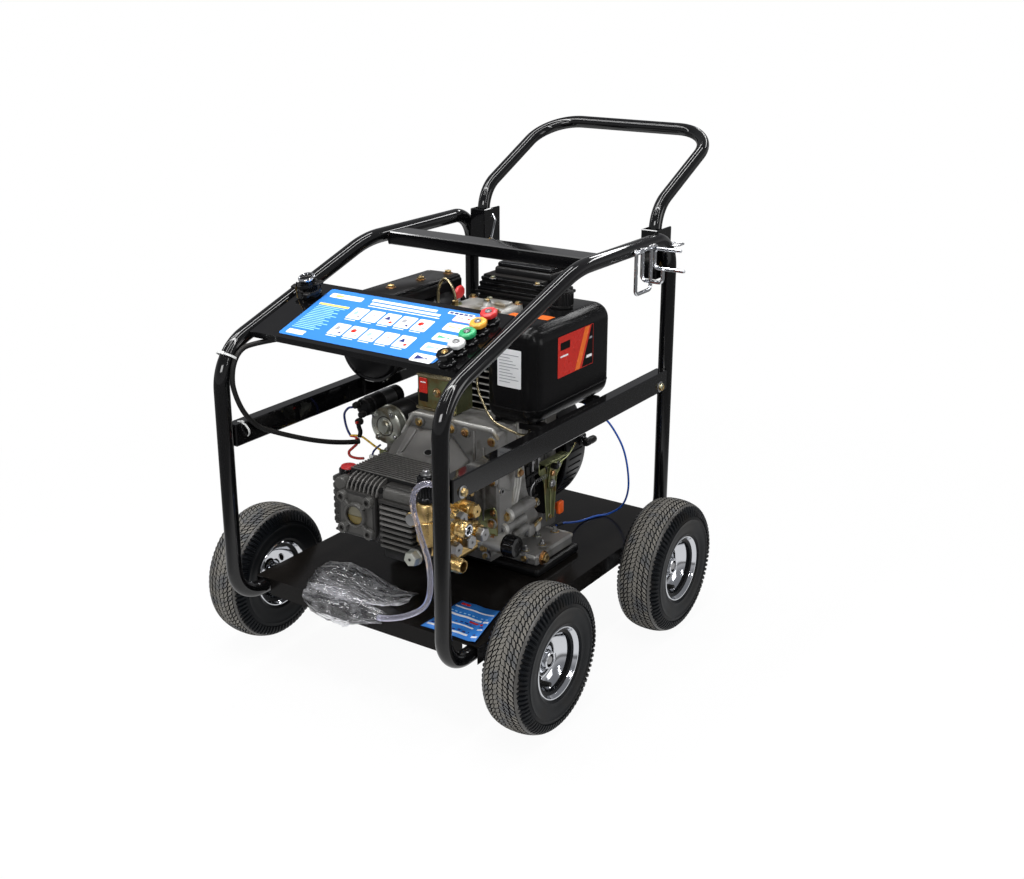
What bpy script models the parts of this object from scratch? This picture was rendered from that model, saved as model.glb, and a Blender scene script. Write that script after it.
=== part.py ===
"""Diesel pressure washer on a wheeled tube frame.

Metres, +Z up. The origin is on the ground under the middle of the frame. The pump and its control panel
face -Y, the push handle is at +Y, the fuel tank is at +X and the muffler at -X.
"""
import math

import bmesh
import bpy
from mathutils import Matrix, Vector

# ---------------------------------------------------------------- driving sizes

GAP = 0.0003                    # between pieces that touch

# frame
TUBE_R = 0.014                  # bent frame tube, radius
HOOP_X = 0.232                  # centre of each side hoop from the middle: sets the machine's width
POST_Y = 0.370                  # centre of the front and rear posts from the middle: sets its length
HOOP_LOW_Z = 0.154              # centre height of the hoop's bottom run
HOOP_TOP_Z = 0.745              # centre height of the hoop's top run: sets the machine's height
SLOPE = math.radians(18.2)        # rise of the hoop's front run
SLOPE_DROP = 0.1305             # from the top run down to where the slope would meet the front post
SLOPE_START_Z = HOOP_TOP_Z - SLOPE_DROP
FRONT_BEND_R = 0.090
UPPER_BEND_R = 0.250
CORNER_BEND_R = 0.060

CROSSBAR_Y = 0.100              # middle of the lifting crossbar
CROSSBAR_DEPTH = 0.050
CROSSBAR_HEIGHT = 0.025
CROSSBAR_RISE = 0.008           # top face above the tube's centre line
RAIL_WIDTH = 0.025
RAIL_HEIGHT = 0.040
RAIL_Z = 0.464

# tray and what stands on it
SHEET = 0.0025
TRAY_FRONT_SETBACK = 0.071      # tray edge from the front posts
TRAY_REAR_REACH = 0.008         # tray edge past the rear posts
TRAY_FRONT_Y = TRAY_FRONT_SETBACK - POST_Y
TRAY_REAR_Y = POST_Y + TRAY_REAR_REACH
TRAY_SKIRT = 0.032
NOTCH_CLEARANCE = 0.002
MOUNT_THICKNESS = 0.017

# control panel
PANEL_RISE = 0.008              # sheet's top face above the tube's centre line
PANEL_SIDE_GAP = 0.0005
PANEL_HALF_X = HOOP_X - TUBE_R - PANEL_SIDE_GAP
PANEL_SETBACK = 0.0615          # panel edge from the front posts
PANEL_DEPTH = 0.1655
PANEL_FRONT_Y = PANEL_SETBACK - POST_Y
PANEL_REAR_Y = PANEL_FRONT_Y + PANEL_DEPTH
PANEL_LIP = 0.010
NOZZLE_COUNT = 5
NOZZLE_INSET = 0.0275           # nozzle row from the panel's right edge
NOZZLE_SETBACK = 0.017          # first nozzle from the panel's front edge
NOZZLE_X = PANEL_HALF_X - NOZZLE_INSET
NOZZLE_FIRST_Y = PANEL_FRONT_Y + NOZZLE_SETBACK
NOZZLE_PITCH = 0.0315           # along the panel
NOZZLE_STEM_R = 0.0058
NOZZLE_STEM = 0.030
NOZZLE_HEAD_R = 0.0145
NOZZLE_HEAD = 0.0085
SOCKET_R = 0.0105
SOCKET_RISE = 0.0125
SOCKET_FLANGE_R = 0.0130
SOCKET_FLANGE = 0.004
SOCKET_FIT = 0.0005

# ignition switch on the panel
SWITCH_INSET = 0.0315           # switch from the panel's left edge
SWITCH_SETBACK = 0.1255         # switch from the panel's front edge
SWITCH_X = SWITCH_INSET - PANEL_HALF_X
SWITCH_Y = PANEL_FRONT_Y + SWITCH_SETBACK
SWITCH_R = 0.016
SWITCH_HEIGHT = 0.036
KEY_R = 0.010
KEY_HEIGHT = 0.010

# wheels
WHEEL_OUT = 0.0806              # wheel's middle outside the hoop
WHEEL_X = HOOP_X + WHEEL_OUT
FRONT_AXLE_SETBACK = 0.1644     # axles from the frame's posts
REAR_AXLE_SETBACK = 0.1283
FRONT_WHEEL_Y = FRONT_AXLE_SETBACK - POST_Y
REAR_WHEEL_Y = POST_Y - REAR_AXLE_SETBACK
TYRE_R = 0.130
TYRE_WIDTH = 0.085
TYRE_WALL = 0.008
RIM_FLANGE_R = 0.061
RIM_SEAT_R = 0.050
RIM_WIDTH = 0.068
RIM_SHEET = 0.003
HUB_R = 0.016
HUB_LENGTH = 0.044
AXLE_R = 0.0078
AXLE_FIT = 0.0005
AXLE_NUT_R = 0.011
AXLE_NUT = 0.006
AXLE_BLOCK_INSET = 0.036         # axle block's middle inside the hoop
AXLE_BLOCK_X = HOOP_X - AXLE_BLOCK_INSET
AXLE_BLOCK = 0.030
WHEEL_STEPS = 24

# push handle and its brackets
HANDLE_TUBE_R = 0.0125
HANDLE_INSET = 0.032            # handle's leg inside the hoop
HANDLE_SETBACK = 0.002          # handle's leg in front of the rear post's centre
PIVOT_DROP = 0.055              # pivot below the hoop's top run
HANDLE_X = HOOP_X - HANDLE_INSET
HANDLE_Y = POST_Y - HANDLE_SETBACK
PIVOT_Z = HOOP_TOP_Z - PIVOT_DROP
HANDLE_FOOT = 0.014             # tube below the pivot
HANDLE_LEG = 0.102              # pivot up to the bend
HANDLE_REACH = 0.252            # leg back to the cross bar
HANDLE_BEND_Z = PIVOT_Z + HANDLE_LEG
HANDLE_BAR_Y = HANDLE_Y + HANDLE_REACH
HANDLE_RISE = math.radians(25.5)
HANDLE_LOW_BEND_R = 0.070
HANDLE_TOP_BEND_R = 0.085
PIN_R = 0.004
PIN_FIT = 0.0006
BRACKET_WALL = 0.003
BRACKET_SIDE_GAP = 0.0022
BRACKET_BACK_GAP = 0.0080
BRACKET_DEPTH = 0.058
BRACKET_BELOW_PIVOT = 0.028
BRACKET_ABOVE_PIVOT = 0.067
BRACKET_LOW_Z = PIVOT_Z - BRACKET_BELOW_PIVOT
BRACKET_TOP_Z = PIVOT_Z + BRACKET_ABOVE_PIVOT

# hose hook
HOOK_R = 0.0035
HOOK_DROP = 0.004               # rod ends below the hoop's centre line
HOOK_HEIGHT = 0.076
HOOK_SETBACK = 0.108            # loop's rear rod from the rear post
HOOK_LENGTH = 0.057
HOOK_TOP_Z = HOOP_TOP_Z - HOOK_DROP
HOOK_LOW_Z = HOOK_TOP_Z - HOOK_HEIGHT
HOOK_REAR_Y = POST_Y - HOOK_SETBACK
HOOK_FRONT_Y = HOOK_REAR_Y - HOOK_LENGTH

# engine
CRANK_Z = 0.347
CYLINDER_Y = 0.080
BORE_R = 0.0435
STROKE = 0.070
CASE_HALF_X = 0.118
CASE_FRONT_Y = -0.070
CASE_REAR_Y = 0.150
CASE_LOW_Z = 0.2080
CASE_TOP_Z = 0.455
FOOT_HEIGHT = 0.022
FOOT_LEFT_X = -0.165
FOOT_RIGHT_X = 0.183
FOOT_FRONT_Y = -0.016
FOOT_REAR_Y = 0.110
FRONT_COVER_Y = -0.1047
FRONT_COVER_LEFT_X = -0.075
FRONT_COVER_RIGHT_X = 0.158
FRONT_COVER_LOW_Z = 0.238
FRONT_COVER_TOP_Z = 0.474
JOURNAL_R = 0.0200
JOURNAL_FIT = 0.0010
WEB_R = 0.066
CRANK_PIN_R = 0.019
BARREL_HALF = 0.050
FIN_HALF = 0.062
FIN_THICK = 0.0028
FIN_PITCH = 0.0125
BARREL_TOP_Z = 0.574
HEAD_TOP_Z = 0.612
ROCKER_TOP_Z = 0.643
FLYWHEEL_R = 0.118
SHROUD_R = 0.140
SHROUD_DEPTH = 0.082
RECOIL_R = 0.090
RECOIL_DEPTH = 0.038
SHELL = 0.003
GRIP_Y = 0.212                  # rope guide of the recoil starter
GRIP_Z = 0.362
STARTER_X = -0.1016
STARTER_Z = 0.430
STARTER_R = 0.036
SOLENOID_X = -0.1484
SOLENOID_Z = 0.4590
SOLENOID_R = 0.0185
OIL_FILTER_X = 0.170            # face that the filter cap seats on
OIL_FILTER_Y = -0.098
OIL_FILTER_Z = 0.262

# pump
BELL_FRONT_Y = -0.1650
PUMP_FRONT_Y = -0.290
PUMP_LEFT_X = -0.060
PUMP_SIDE_X = -0.094            # left face of the finned side chamber
PUMP_RIGHT_X = 0.1147
PUMP_LOW_Z = 0.268
PUMP_TOP_Z = 0.412
PUMP_FIN = 0.008
PUMP_COVER = 0.080
PUMP_COVER_DEPTH = 0.014
HEAD_RIGHT_X = 0.165
HEAD_FRONT_Y = -0.262
HEAD_REAR_Y = -0.158
HEAD_LOW_Z = 0.288
HEAD_UP_Z = 0.384
VALVE_PITCH = 0.039
UNLOADER_X = 0.138
UNLOADER_Y = -0.2845
UNLOADER_R = 0.0190
BARB_Z = 0.384
BARB_REACH = 0.030
KNOB_R = 0.0150
KNOB_LOW_Z = 0.402
KNOB_TOP_Z = 0.448

# soft parts
BYPASS_HOSE_R = 0.005
HARNESS_R = 0.0045
LEAD_R = 0.002


# ---------------------------------------------------------------- tools

def start_scene():
    for old in list(bpy.data.objects):
        bpy.data.objects.remove(old, do_unlink=True)
    for name in ("pressure_washer", "cutters"):
        collection = bpy.data.collections.new(name)
        bpy.context.scene.collection.children.link(collection)


def material(name, colour, roughness, metallic):
    made = bpy.data.materials.get(name) or bpy.data.materials.new(name)
    made.use_nodes = True
    shader = made.node_tree.nodes["Principled BSDF"]
    shader.inputs["Base Color"].default_value = (*colour, 1.0)
    shader.inputs["Roughness"].default_value = roughness
    shader.inputs["Metallic"].default_value = metallic
    return made


def black_paint():
    return material("black_paint", (0.012, 0.012, 0.013), 0.25, 0.0)


def cast_aluminium():
    return material("cast_aluminium", (0.42, 0.42, 0.43), 0.45, 1.0)


def dark_casting():
    return material("dark_casting", (0.07, 0.07, 0.075), 0.5, 0.6)


def black_plastic():
    return material("black_plastic", (0.015, 0.015, 0.016), 0.4, 0.0)


def rubber():
    return material("rubber", (0.03, 0.03, 0.03), 0.8, 0.0)


def chrome():
    return material("chrome", (0.75, 0.76, 0.78), 0.12, 1.0)


def brass():
    return material("brass", (0.72, 0.5, 0.2), 0.28, 1.0)


def zinc():
    return material("yellow_zinc", (0.42, 0.42, 0.22), 0.35, 1.0)


def move_to(thing, collection_name):
    for collection in list(thing.users_collection):
        collection.objects.unlink(thing)
    bpy.data.collections[collection_name].objects.link(thing)


def named(thing, name, finish):
    thing.name = name
    thing.data.name = name
    thing.data.materials.clear()
    thing.data.materials.append(finish)
    move_to(thing, "pressure_washer")
    return thing


def rounded(thing, width, segments=2):
    bevel = thing.modifiers.new("rounded", "BEVEL")
    bevel.width = width
    bevel.segments = segments
    bevel.limit_method = "ANGLE"
    bevel.angle_limit = math.radians(40)
    return thing


def smooth(thing, angle=35):
    thing.data.shade_smooth()
    thing.data.set_sharp_from_angle(angle=math.radians(angle))
    return thing


def box(name, low, high, finish):
    low, high = Vector(low), Vector(high)
    bpy.ops.mesh.primitive_cube_add(size=1, location=(low + high) / 2)
    made = bpy.context.object
    made.data.transform(Matrix.Diagonal((*(high - low), 1)))
    return named(made, name, finish)


TURN = {
    "X": Matrix.Rotation(math.pi / 2, 4, "Y"),
    "Y": Matrix.Rotation(-math.pi / 2, 4, "X"),
    "Z": Matrix.Identity(4),
}


def rod(name, start, axis, length, radius, finish, sides=24):
    """A cylinder that starts at a point and runs along +axis."""
    bpy.ops.mesh.primitive_cylinder_add(vertices=sides, radius=radius, depth=length)
    made = bpy.context.object
    made.data.transform(Matrix.Translation((0, 0, length / 2)))
    made.matrix_world = Matrix.Translation(start) @ TURN[axis]
    return smooth(named(made, name, finish))


def turned(name, profile, centre, axis, finish, steps=32, ring=False):
    """A profile of (radius, height) points turned about an axis. A ring's profile is a closed loop."""
    mesh = bpy.data.meshes.new(name)
    count = len(profile)
    edges = [(index, index + 1) for index in range(count - 1)]
    if ring:
        edges.append((count - 1, 0))
    mesh.from_pydata([(radius, 0, height) for radius, height in profile], edges, [])
    made = bpy.data.objects.new(name, mesh)
    bpy.context.scene.collection.objects.link(made)
    screw = made.modifiers.new("turned", "SCREW")
    screw.steps = steps
    screw.render_steps = steps
    screw.use_merge_vertices = True
    screw.merge_threshold = 0.00001
    screw.use_smooth_shade = True
    made.matrix_world = Matrix.Translation(centre) @ TURN[axis]
    return named(made, name, finish)


def bent_path(points, radii, steps, closed=False):
    """Points with each inner corner replaced by an arc of the given radius."""
    corners = [Vector(point) for point in points]
    count = len(corners)
    path = []
    for index, corner in enumerate(corners):
        if not closed and index in (0, count - 1):
            path.append(corner)
            continue
        before = (corners[index - 1] - corner).normalized()
        after = (corners[(index + 1) % count] - corner).normalized()
        radius = radii[index]
        half = before.angle(after) / 2
        reach = radius / math.tan(half)
        centre = corner + (before + after).normalized() * (radius / math.sin(half))
        first = corner + before * reach - centre
        last = corner + after * reach - centre
        sweep = first.angle(last)
        for step in range(steps + 1):
            share = step / steps
            arm = first * math.sin((1 - share) * sweep) + last * math.sin(share * sweep)
            path.append(centre + arm / math.sin(sweep))
    return path


def tube(name, path, radius, finish, closed=False, resolution=4):
    curve = bpy.data.curves.new(name, "CURVE")
    curve.dimensions = "3D"
    curve.bevel_depth = radius
    curve.bevel_resolution = resolution
    curve.use_fill_caps = True
    spline = curve.splines.new("POLY")
    spline.points.add(len(path) - 1)
    for point, place in zip(spline.points, path):
        point.co = (*place, 1)
    spline.use_cyclic_u = closed
    made = bpy.data.objects.new(name, curve)
    bpy.context.scene.collection.objects.link(made)
    return named(made, name, finish)


def smooth_route(points, spacing):
    """Evenly spaced points on a smooth curve through the given points."""
    places = [Vector(point) for point in points]
    places = [places[0] * 2 - places[1]] + places + [places[-1] * 2 - places[-2]]
    dense = []
    for index in range(1, len(places) - 2):
        p0, p1, p2, p3 = places[index - 1:index + 3]
        for step in range(24):
            t = step / 24
            dense.append(0.5 * (2 * p1 + (p2 - p0) * t + (2 * p0 - 5 * p1 + 4 * p2 - p3) * t * t
                                + (3 * p1 - p0 - 3 * p2 + p3) * t ** 3))
    dense.append(places[-2])
    lengths = [0.0]
    for before, after in zip(dense, dense[1:]):
        lengths.append(lengths[-1] + (after - before).length)
    count = max(2, round(lengths[-1] / spacing))
    route = []
    index = 0
    for step in range(count + 1):
        target = lengths[-1] * step / count
        while index < len(dense) - 2 and lengths[index + 1] < target:
            index += 1
        share = (target - lengths[index]) / (lengths[index + 1] - lengths[index])
        route.append(dense[index].lerp(dense[index + 1], share))
    return route


def as_mesh(curve_object):
    """The curve as a closed mesh, so that it can be cut or joined."""
    bpy.context.view_layer.update()
    graph = bpy.context.evaluated_depsgraph_get()
    mesh = bpy.data.meshes.new_from_object(curve_object.evaluated_get(graph))
    work = bmesh.new()
    work.from_mesh(mesh)
    bmesh.ops.remove_doubles(work, verts=work.verts, dist=0.00001)
    bmesh.ops.recalc_face_normals(work, faces=work.faces)
    work.to_mesh(mesh)
    work.free()
    name = curve_object.name
    finish = curve_object.data.materials[0]
    made = bpy.data.objects.new(name, mesh)
    made.matrix_world = curve_object.matrix_world.copy()
    bpy.context.scene.collection.objects.link(made)
    bpy.data.objects.remove(curve_object, do_unlink=True)
    return smooth(named(made, name, finish))


def bar(name, outline, half_width, middle_x, finish):
    """A (y, z) outline as a solid that runs along X."""
    curve = bpy.data.curves.new(name, "CURVE")
    curve.dimensions = "2D"
    curve.fill_mode = "BOTH"
    curve.extrude = half_width
    spline = curve.splines.new("POLY")
    spline.points.add(len(outline) - 1)
    for point, (y, z) in zip(spline.points, outline):
        point.co = (y, z, 0, 1)
    spline.use_cyclic_u = True
    made = bpy.data.objects.new(name, curve)
    bpy.context.scene.collection.objects.link(made)
    made.matrix_world = Matrix(((0, 0, 1, middle_x), (1, 0, 0, 0), (0, 1, 0, 0), (0, 0, 0, 1)))
    return as_mesh(named(made, name, finish))


def combine(target, operation, tools):
    for tool in tools:
        change = target.modifiers.new(tool.name, "BOOLEAN")
        change.operation = operation
        change.solver = "EXACT"
        change.object = tool
        tool.hide_render = True
        tool.display_type = "WIRE"
        tool.name = "tool_" + tool.name
        move_to(tool, "cutters")
    return target


def join(target, *tools):
    return combine(target, "UNION", tools)


def cut(target, *tools):
    return combine(target, "DIFFERENCE", tools)


def stack(name, low, high, step, count, finish):
    """Equal boxes in a row, as one tool for a single join."""
    made = box(name, low, high, finish)
    array = made.modifiers.new("row", "ARRAY")
    array.count = count
    array.use_relative_offset = False
    array.use_constant_offset = True
    array.constant_offset_displace = step
    return made


def hang_on(child, parent):
    child.parent = parent
    child.matrix_parent_inverse = parent.matrix_world.inverted()


def joint_origin(name, place):
    empty = bpy.data.objects.new(name, None)
    empty.location = place
    bpy.data.collections["pressure_washer"].objects.link(empty)
    bpy.context.view_layer.update()
    return empty


# ---------------------------------------------------------------- places that pieces share

HOOP_INNER_X = HOOP_X - TUBE_R - GAP
TRAY_UNDER_Z = HOOP_LOW_Z + TUBE_R + GAP
TRAY_TOP_Z = TRAY_UNDER_Z + SHEET
TRAY_HALF_X = HOOP_X + TUBE_R + GAP + SHEET
MOUNT_TOP_Z = TRAY_TOP_Z + GAP + MOUNT_THICKNESS
MIDDLE_Y = (HANDLE_BAR_Y + HANDLE_TUBE_R - POST_Y - TUBE_R) / 2
FOOT_LOW_Z = MOUNT_TOP_Z + GAP


def slope_z(y):
    """Height of the hoop's centre line on its sloped front run."""
    return SLOPE_START_Z + math.tan(SLOPE) * (y + POST_Y)


def panel_z(y):
    return slope_z(y) + PANEL_RISE


def on_panel(x, y, rise):
    """A point above the panel's top face, measured square to it."""
    return Vector((x, y - math.sin(SLOPE) * rise, panel_z(y) + math.cos(SLOPE) * rise))


def square_to_panel(thing, x, y, rise):
    thing.matrix_world = Matrix.Translation(on_panel(x, y, rise)) @ Matrix.Rotation(SLOPE, 4, "X")
    return thing


# ---------------------------------------------------------------- frame

def side_hoop(name, side):
    x = side * HOOP_X
    top_start_y = (HOOP_TOP_Z - SLOPE_START_Z) / math.tan(SLOPE) - POST_Y
    corners = [
        (x, -POST_Y, HOOP_LOW_Z),
        (x, -POST_Y, SLOPE_START_Z),
        (x, top_start_y, HOOP_TOP_Z),
        (x, POST_Y, HOOP_TOP_Z),
        (x, POST_Y, HOOP_LOW_Z),
    ]
    radii = [CORNER_BEND_R, FRONT_BEND_R, UPPER_BEND_R, CORNER_BEND_R, CORNER_BEND_R]
    return tube(name, bent_path(corners, radii, 6, closed=True), TUBE_R, black_paint(), closed=True)


def lifting_crossbar():
    top = HOOP_TOP_Z + CROSSBAR_RISE
    made = box("lifting_crossbar",
               (-HOOP_INNER_X, CROSSBAR_Y - CROSSBAR_DEPTH / 2, top - CROSSBAR_HEIGHT),
               (HOOP_INNER_X, CROSSBAR_Y + CROSSBAR_DEPTH / 2, top), black_paint())
    return rounded(made, 0.002, 1)


def side_rail(name, side):
    reach = POST_Y - TUBE_R - GAP
    made = box(name, (side * HOOP_X - RAIL_WIDTH / 2, -reach, RAIL_Z - RAIL_HEIGHT / 2),
               (side * HOOP_X + RAIL_WIDTH / 2, reach, RAIL_Z + RAIL_HEIGHT / 2), black_paint())
    return rounded(made, 0.002, 1)


def base_tray():
    made = box("base_tray", (-TRAY_HALF_X, TRAY_FRONT_Y, TRAY_TOP_Z - TRAY_SKIRT),
               (TRAY_HALF_X, TRAY_REAR_Y, TRAY_TOP_Z), black_paint())
    inside = box("tray_inside", (-TRAY_HALF_X + SHEET, TRAY_FRONT_Y + SHEET, TRAY_TOP_Z - TRAY_SKIRT - 0.01),
                 (TRAY_HALF_X - SHEET, TRAY_REAR_Y - SHEET, TRAY_UNDER_Z), black_paint())
    tools = [inside]
    notch_x = HOOP_X - TUBE_R - NOTCH_CLEARANCE
    notch_rear_y = POST_Y - CORNER_BEND_R - NOTCH_CLEARANCE
    for side in (-1, 1):
        xs = sorted((side * notch_x, side * (HOOP_X + TUBE_R + NOTCH_CLEARANCE)))
        tools.append(box(f"front_notch_{side}", (xs[0], TRAY_FRONT_Y - 0.01, TRAY_TOP_Z - TRAY_SKIRT - 0.01),
                         (xs[1], TRAY_FRONT_Y + 2 * SHEET, TRAY_UNDER_Z - 0.0001), black_paint()))
        xs = sorted((side * notch_x, side * (TRAY_HALF_X + 0.01)))
        tools.append(box(f"rear_notch_{side}", (xs[0], notch_rear_y, TRAY_TOP_Z - TRAY_SKIRT - 0.01),
                         (xs[1], TRAY_REAR_Y + 0.01, TRAY_TOP_Z + 0.01), black_paint()))
    return cut(made, *tools)


def engine_mount_pad():
    made = box("engine_mount_pad", (FOOT_LEFT_X - 0.006, FOOT_FRONT_Y - 0.010, TRAY_TOP_Z + GAP),
               (FOOT_RIGHT_X + 0.008, FOOT_REAR_Y + 0.012, MOUNT_TOP_Z), black_paint())
    return rounded(made, 0.006, 2)


def control_panel():
    drop = SHEET * math.sin(SLOPE)
    under = SHEET * math.cos(SLOPE)
    front_z, rear_z = panel_z(PANEL_FRONT_Y), panel_z(PANEL_REAR_Y)
    outline = [
        (PANEL_FRONT_Y, front_z - PANEL_LIP),
        (PANEL_FRONT_Y, front_z),
        (PANEL_REAR_Y, rear_z),
        (PANEL_REAR_Y + drop, rear_z - under),
        (PANEL_FRONT_Y + SHEET, front_z - SHEET / math.cos(SLOPE) + SHEET * math.tan(SLOPE)),
        (PANEL_FRONT_Y + SHEET, front_z - PANEL_LIP),
    ]
    made = bar("control_panel", outline, PANEL_HALF_X, 0, black_paint())
    holes = []
    for index in range(NOZZLE_COUNT):
        hole = rod(f"socket_hole_{index + 1}", (0, 0, 0), "Z", 0.03, SOCKET_R + SOCKET_FIT, black_paint(), 12)
        holes.append(square_to_panel(hole, NOZZLE_X, nozzle_y(index), -0.015))
    return cut(made, *holes)


def axle(name, y):
    """A through axle with a nut at each end and two blocks that carry it under the tray."""
    reach = WHEEL_X + HUB_LENGTH / 2 + 0.002
    made = rod(name, (-reach, y, TYRE_R), "X", 2 * reach, AXLE_R, chrome(), 20)
    tools = []
    for side in (-1, 1):
        x = side * AXLE_BLOCK_X
        block = box(f"{name}_block_{side}", (x - AXLE_BLOCK / 2, y - 0.018, TYRE_R - AXLE_R - 0.006),
                    (x + AXLE_BLOCK / 2, y + 0.018, TRAY_UNDER_Z - GAP), black_paint())
        start = (reach - 0.001, y, TYRE_R) if side > 0 else (-reach + 0.001 - AXLE_NUT, y, TYRE_R)
        tools += [block, rod(f"{name}_nut_{side}", start, "X", AXLE_NUT, AXLE_NUT_R, chrome(), 6)]
    return join(made, *tools)


def handle_bracket(name, side):
    """A U channel, open to the rear, with the bolt that the handle folds on."""
    half = HANDLE_TUBE_R + BRACKET_SIDE_GAP + BRACKET_WALL
    front_y = HANDLE_Y - HANDLE_TUBE_R - BRACKET_BACK_GAP - BRACKET_WALL
    x = side * HANDLE_X
    made = box(name, (x - half, front_y, BRACKET_LOW_Z), (x + half, front_y + BRACKET_DEPTH, BRACKET_TOP_Z),
               black_paint())
    rounded(made, 0.0015, 1)
    inner = half - BRACKET_WALL
    inside = box(f"{name}_inside", (x - inner, front_y + BRACKET_WALL, BRACKET_LOW_Z - 0.01),
                 (x + inner, front_y + BRACKET_DEPTH + 0.01, BRACKET_TOP_Z + 0.01), black_paint())
    cut(made, inside)
    pin_left = x - half - (0.006 if side > 0 else -0.001)
    pin = rod(f"{name}_pin", (pin_left, HANDLE_Y, PIVOT_Z), "X", 2 * half + 0.005, PIN_R, chrome(), 16)
    return join(made, pin)


def hook_rod(name, points, bend):
    return as_mesh(tube(name, bent_path(points, [bend] * len(points), 3), HOOK_R, chrome(), resolution=2))


def hose_hook():
    """Bent rods welded to the right hoop: a loop, a J and two prongs, on one short weld bar."""
    x = HOOP_X + TUBE_R + HOOK_R + GAP
    loop = hook_rod("hose_hook", [
        (x, HOOK_FRONT_Y, HOOK_TOP_Z), (x, HOOK_FRONT_Y, HOOK_LOW_Z),
        (x, HOOK_REAR_Y, HOOK_LOW_Z), (x, HOOK_REAR_Y, HOOK_TOP_Z)], 0.008)
    j_y = HOOK_FRONT_Y + 0.024
    j_low = HOOK_TOP_Z - 0.053
    hook_j = hook_rod("hook_j", [
        (x, j_y, HOOK_TOP_Z), (x, j_y, j_low), (x + 0.042, j_y, j_low), (x + 0.042, j_y, j_low + 0.024)], 0.009)
    prong_y = HOOK_REAR_Y + 0.014
    prongs = hook_rod("hook_prongs", [
        (x + 0.052, prong_y, HOOK_TOP_Z - 0.001), (x, prong_y, HOOK_TOP_Z - 0.001),
        (x, prong_y, HOOK_TOP_Z - 0.038), (x + 0.060, prong_y, HOOK_TOP_Z - 0.038)], 0.009)
    weld = rod("hook_weld", (x, HOOK_FRONT_Y - 0.006, HOOK_TOP_Z + 0.002), "Y",
               prong_y - HOOK_FRONT_Y + 0.012, HOOK_R + 0.0002, chrome(), 10)
    return join(loop, hook_j, prongs, weld)


# ---------------------------------------------------------------- control panel pieces

def nozzle_y(index):
    return NOZZLE_FIRST_Y + index * NOZZLE_PITCH * math.cos(SLOPE)


def nozzle_rack():
    """Five rubber sockets that stand through the panel, on one strip below it."""
    middle = (NOZZLE_COUNT - 1) / 2
    half_length = middle * NOZZLE_PITCH + SOCKET_FLANGE_R
    made = box("nozzle_rack", (-SOCKET_FLANGE_R, -half_length, -0.005), (SOCKET_FLANGE_R, half_length, 0), rubber())
    made.data.transform(Matrix.Translation((0, 0, -0.0025)))
    square_to_panel(made, NOZZLE_X, nozzle_y(middle), -SHEET - GAP)
    necks, bores = [], []
    for index in range(NOZZLE_COUNT):
        neck = rod(f"socket_{index + 1}", (0, 0, 0), "Z", SOCKET_RISE + SHEET + 0.002, SOCKET_R, rubber(), 12)
        necks.append(square_to_panel(neck, NOZZLE_X, nozzle_y(index), -SHEET - 0.002))
        flange = rod(f"socket_flange_{index + 1}", (0, 0, 0), "Z", SOCKET_FLANGE, SOCKET_FLANGE_R, rubber(), 12)
        necks.append(square_to_panel(flange, NOZZLE_X, nozzle_y(index), GAP))
        bore = rod(f"socket_bore_{index + 1}", (0, 0, 0), "Z", 0.05, NOZZLE_STEM_R + SOCKET_FIT, rubber(), 8)
        bores.append(square_to_panel(bore, NOZZLE_X, nozzle_y(index), -0.025))
    join(made, *necks)
    return cut(made, *bores)


def spray_nozzles():
    colours = {
        "black": (0.01, 0.01, 0.01), "white": (0.8, 0.8, 0.8), "green": (0.02, 0.35, 0.08),
        "yellow": (0.8, 0.4, 0.02), "red": (0.6, 0.03, 0.03),
    }
    for index, (colour, tint) in enumerate(colours.items()):
        rise = SOCKET_RISE + GAP
        profile = [(0, NOZZLE_HEAD), (NOZZLE_HEAD_R - 0.002, NOZZLE_HEAD), (NOZZLE_HEAD_R, NOZZLE_HEAD - 0.002),
                   (NOZZLE_HEAD_R, 0), (NOZZLE_STEM_R, 0), (NOZZLE_STEM_R, -NOZZLE_STEM), (0, -NOZZLE_STEM)]
        made = turned(f"nozzle_{colour}", profile, (0, 0, 0), "Z", material(f"nozzle_{colour}", tint, 0.35, 0.0), 8)
        square_to_panel(made, NOZZLE_X, nozzle_y(index), rise)


def ignition_switch():
    made = rod("ignition_switch", (0, 0, 0), "Z", SWITCH_HEIGHT, SWITCH_R, black_plastic(), 24)
    square_to_panel(made, SWITCH_X, SWITCH_Y, GAP)
    well = rod("switch_well", (0, 0, 0), "Z", 0.02, KEY_R + GAP, black_plastic(), 20)
    square_to_panel(well, SWITCH_X, SWITCH_Y, SWITCH_HEIGHT - 0.012)
    cut(made, well)
    key = rod("key_barrel", (0, 0, 0), "Z", KEY_HEIGHT + 0.012 - GAP, KEY_R - GAP, chrome(), 20)
    square_to_panel(key, SWITCH_X, SWITCH_Y, SWITCH_HEIGHT - 0.012 + GAP + GAP)


# ---------------------------------------------------------------- wheels

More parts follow.
